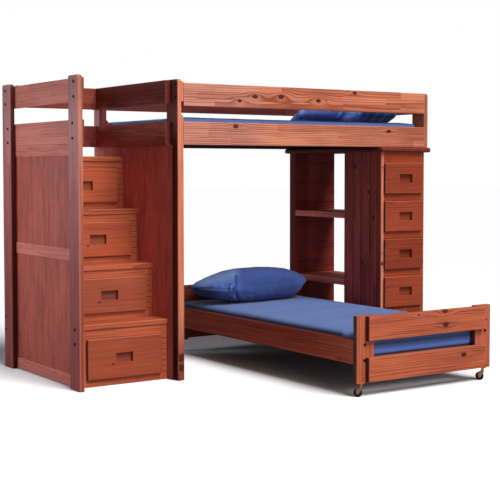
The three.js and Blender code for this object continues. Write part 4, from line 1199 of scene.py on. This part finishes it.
def onSight(point):
    line = Vector(point) - eye
    return eye + line * (sightLength / line.length)


def lineDistance(point, line):
    best = math.inf
    for a, b in zip(line, line[1:]):
        along = b - a
        t = max(0.0, min(1.0, (point - a).dot(along) / along.length_squared))
        best = min(best, (point - a - along * t).length)
    return best


# Full is the height above its bed at which a cover's creases are whole. Finer ones lie on the broad ones.
# Reach and lip are how many widths a fold goes out, and how far off its lips stand.
creasing = {"full": 0.03, "finer": 2.3, "finerPart": 0.5, "reach": 5, "lip": 2.2}


# Presses the folds into a cover and lays soft creases over all of it.
def crease(piece, values):
    piece.data.update()
    low = min(v.co.z for v in piece.data.vertices)
    folds = [(*fold, [onSight(c) for c in line]) for *fold, line in values.get("folds", ())]
    moves = []
    for v in piece.data.vertices:
        here = v.co
        free = max(0.0, min(1.0, (here.z - low) / creasing["full"]))
        broad = soft.noise(here * values["scale"])
        wave = broad + creasing["finerPart"] * soft.noise(here * values["scale"] * creasing["finer"])
        push = wave * values["crease"] * free
        seen = onSight(here)
        facing = v.normal.dot(eye - here) > 0
        for depth, wide, lip, line in folds if facing else ():
            off = lineDistance(seen, line)
            if off < wide * creasing["reach"]:
                push -= depth * math.exp(-((off / wide) ** 2))
                push += lip * math.exp(-(((off - creasing["lip"] * wide) / wide) ** 2))
        moves.append(v.normal * push)
    for v, move in zip(piece.data.vertices, moves):
        v.co += move


strokeReach = 3  # widths from its line at which a stroke has died out
pastEdge = -0.05  # how far strokes go on round the cover's edge


# Writes the strokes of painted highlight and painted shade into the cover's tone attribute, on the side that
# faces the eye and just past it.
def paintLightOnCover(piece, strokes):
    strokes = [(width, strength, [onSight(c) for c in line]) for width, strength, line in strokes]
    tone = piece.data.attributes.new("tone", "FLOAT", "POINT")
    for i, v in enumerate(piece.data.vertices):
        seen = onSight(v.co)
        amount = 0.0
        facing = v.normal.dot(eye - v.co) > pastEdge
        for width, strength, line in strokes if facing else ():
            off = lineDistance(seen, line) / width
            if off < strokeReach:
                amount += strength * math.exp(-off * off)
        tone.data[i].value = amount


# One cover: remeshed from its node, shaped, swelled, creased, given its painted highlights and shade, and put
# in the node's place.
def makeBedding(source):
    values = bedding[source]
    piece = remeshed(source, values["voxel"])
    if "form" in values:
        drawEnds(piece, values["form"])
    if "square" in values:
        squareCorners(piece, values["square"])
    if "ends" in values:
        squareCorners(piece, values["ends"], (0, 2))
    plump(piece, values)
    smooth = piece.modifiers.new("smooth", "SUBSURF")
    smooth.levels = smooth.render_levels = 1
    applyModifier(piece, "smooth")
    crease(piece, values)
    paintLightOnCover(piece, values.get("paintedLight", ()))
    for face in piece.data.polygons:
        face.use_smooth = True
    piece.data.materials.append(clothMaterials[values["cloth"]])
    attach(piece, values["body"])
    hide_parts(source)
    print(source, len(piece.data.polygons), "faces")


clothMaterials = {name: makeCloth(name) for name in cloths}
for source in bedding:
    makeBedding(source)

print("stage: floor and light")


# The floor is paler to the camera than to the light that it sends back to the bed, and so is the background.
studio = {"floorSize": 120, "floor": (0.2, 0.2, 0.2, 1), "floorSeen": (0.86, 0.86, 0.87, 1),
          "floorRough": 0.9, "floorGloss": 0.1, "sky": 0.14, "skySeen": 1.0}
lamps = {
    "key": {"kind": "SUN", "energy": 4.2, "place": (0.9, -5.5, 7.0), "target": (0, 0, 0),
            "settings": {"angle": math.radians(32)}},
    "front": {"kind": "AREA", "energy": 85.0, "place": (-0.5, -5.6, 1.2), "target": (-0.8, 0.0, 0.9),
              "settings": {"size": 2.4, "color": (1.0, 0.95, 0.9)}},
    "loft": {"kind": "AREA", "energy": 14.0, "place": (-0.4, -3.6, 2.6), "target": (-0.2, 0.0, 1.7),
             "settings": {"size": 1.0, "color": (1.0, 0.96, 0.93)}},
    "side": {"kind": "SPOT", "energy": 380.0, "place": (-4.4, 2.4, 1.6), "target": (-1.3, 0.5, 0.9),
             "settings": {"shadow_soft_size": 0.8, "color": (0.86, 0.92, 1.0), "spot_size": math.radians(46),
                          "spot_blend": 0.6}},
}


def makeFloor():
    bpy.ops.object.select_all(action="DESELECT")
    bpy.ops.mesh.primitive_plane_add(size=studio["floorSize"], location=(0, 0, 0))
    floor = bpy.context.object
    floor.name = "floor"
    material, tree, shader, _ = startMaterial("paleFloor")
    seen = addNode(tree, "LightPath").outputs["Is Camera Ray"]
    tree.links.new(mixColour(tree, seen, studio["floor"], studio["floorSeen"]), shader.inputs["Base Color"])
    shader.inputs["Roughness"].default_value = studio["floorRough"]
    shader.inputs["Specular IOR Level"].default_value = studio["floorGloss"]
    floor.data.materials.append(material)


def makeWorld():
    world = bpy.data.worlds.new("studio")
    scene.world = world
    world.use_nodes = True
    tree = world.node_tree
    back = tree.nodes["Background"]
    back.inputs["Color"].default_value = (1.0, 1.0, 1.0, 1)
    seen = addNode(tree, "LightPath").outputs["Is Camera Ray"]
    tree.links.new(mixValue(tree, seen, studio["sky"], studio["skySeen"]), back.inputs["Strength"])


def makeLamp(name):
    values = lamps[name]
    lamp = bpy.data.objects.new(name, bpy.data.lights.new(name, values["kind"]))
    lamp.data.energy = values["energy"]
    for key, value in values["settings"].items():
        setattr(lamp.data, key, value)
    lamp.location = values["place"]
    way = Vector(values["target"]) - Vector(values["place"])
    lamp.rotation_euler = way.to_track_quat("-Z", "Y").to_euler()
    scene.collection.objects.link(lamp)


makeFloor()
makeWorld()
for name in lamps:
    makeLamp(name)

print("stage: finish")
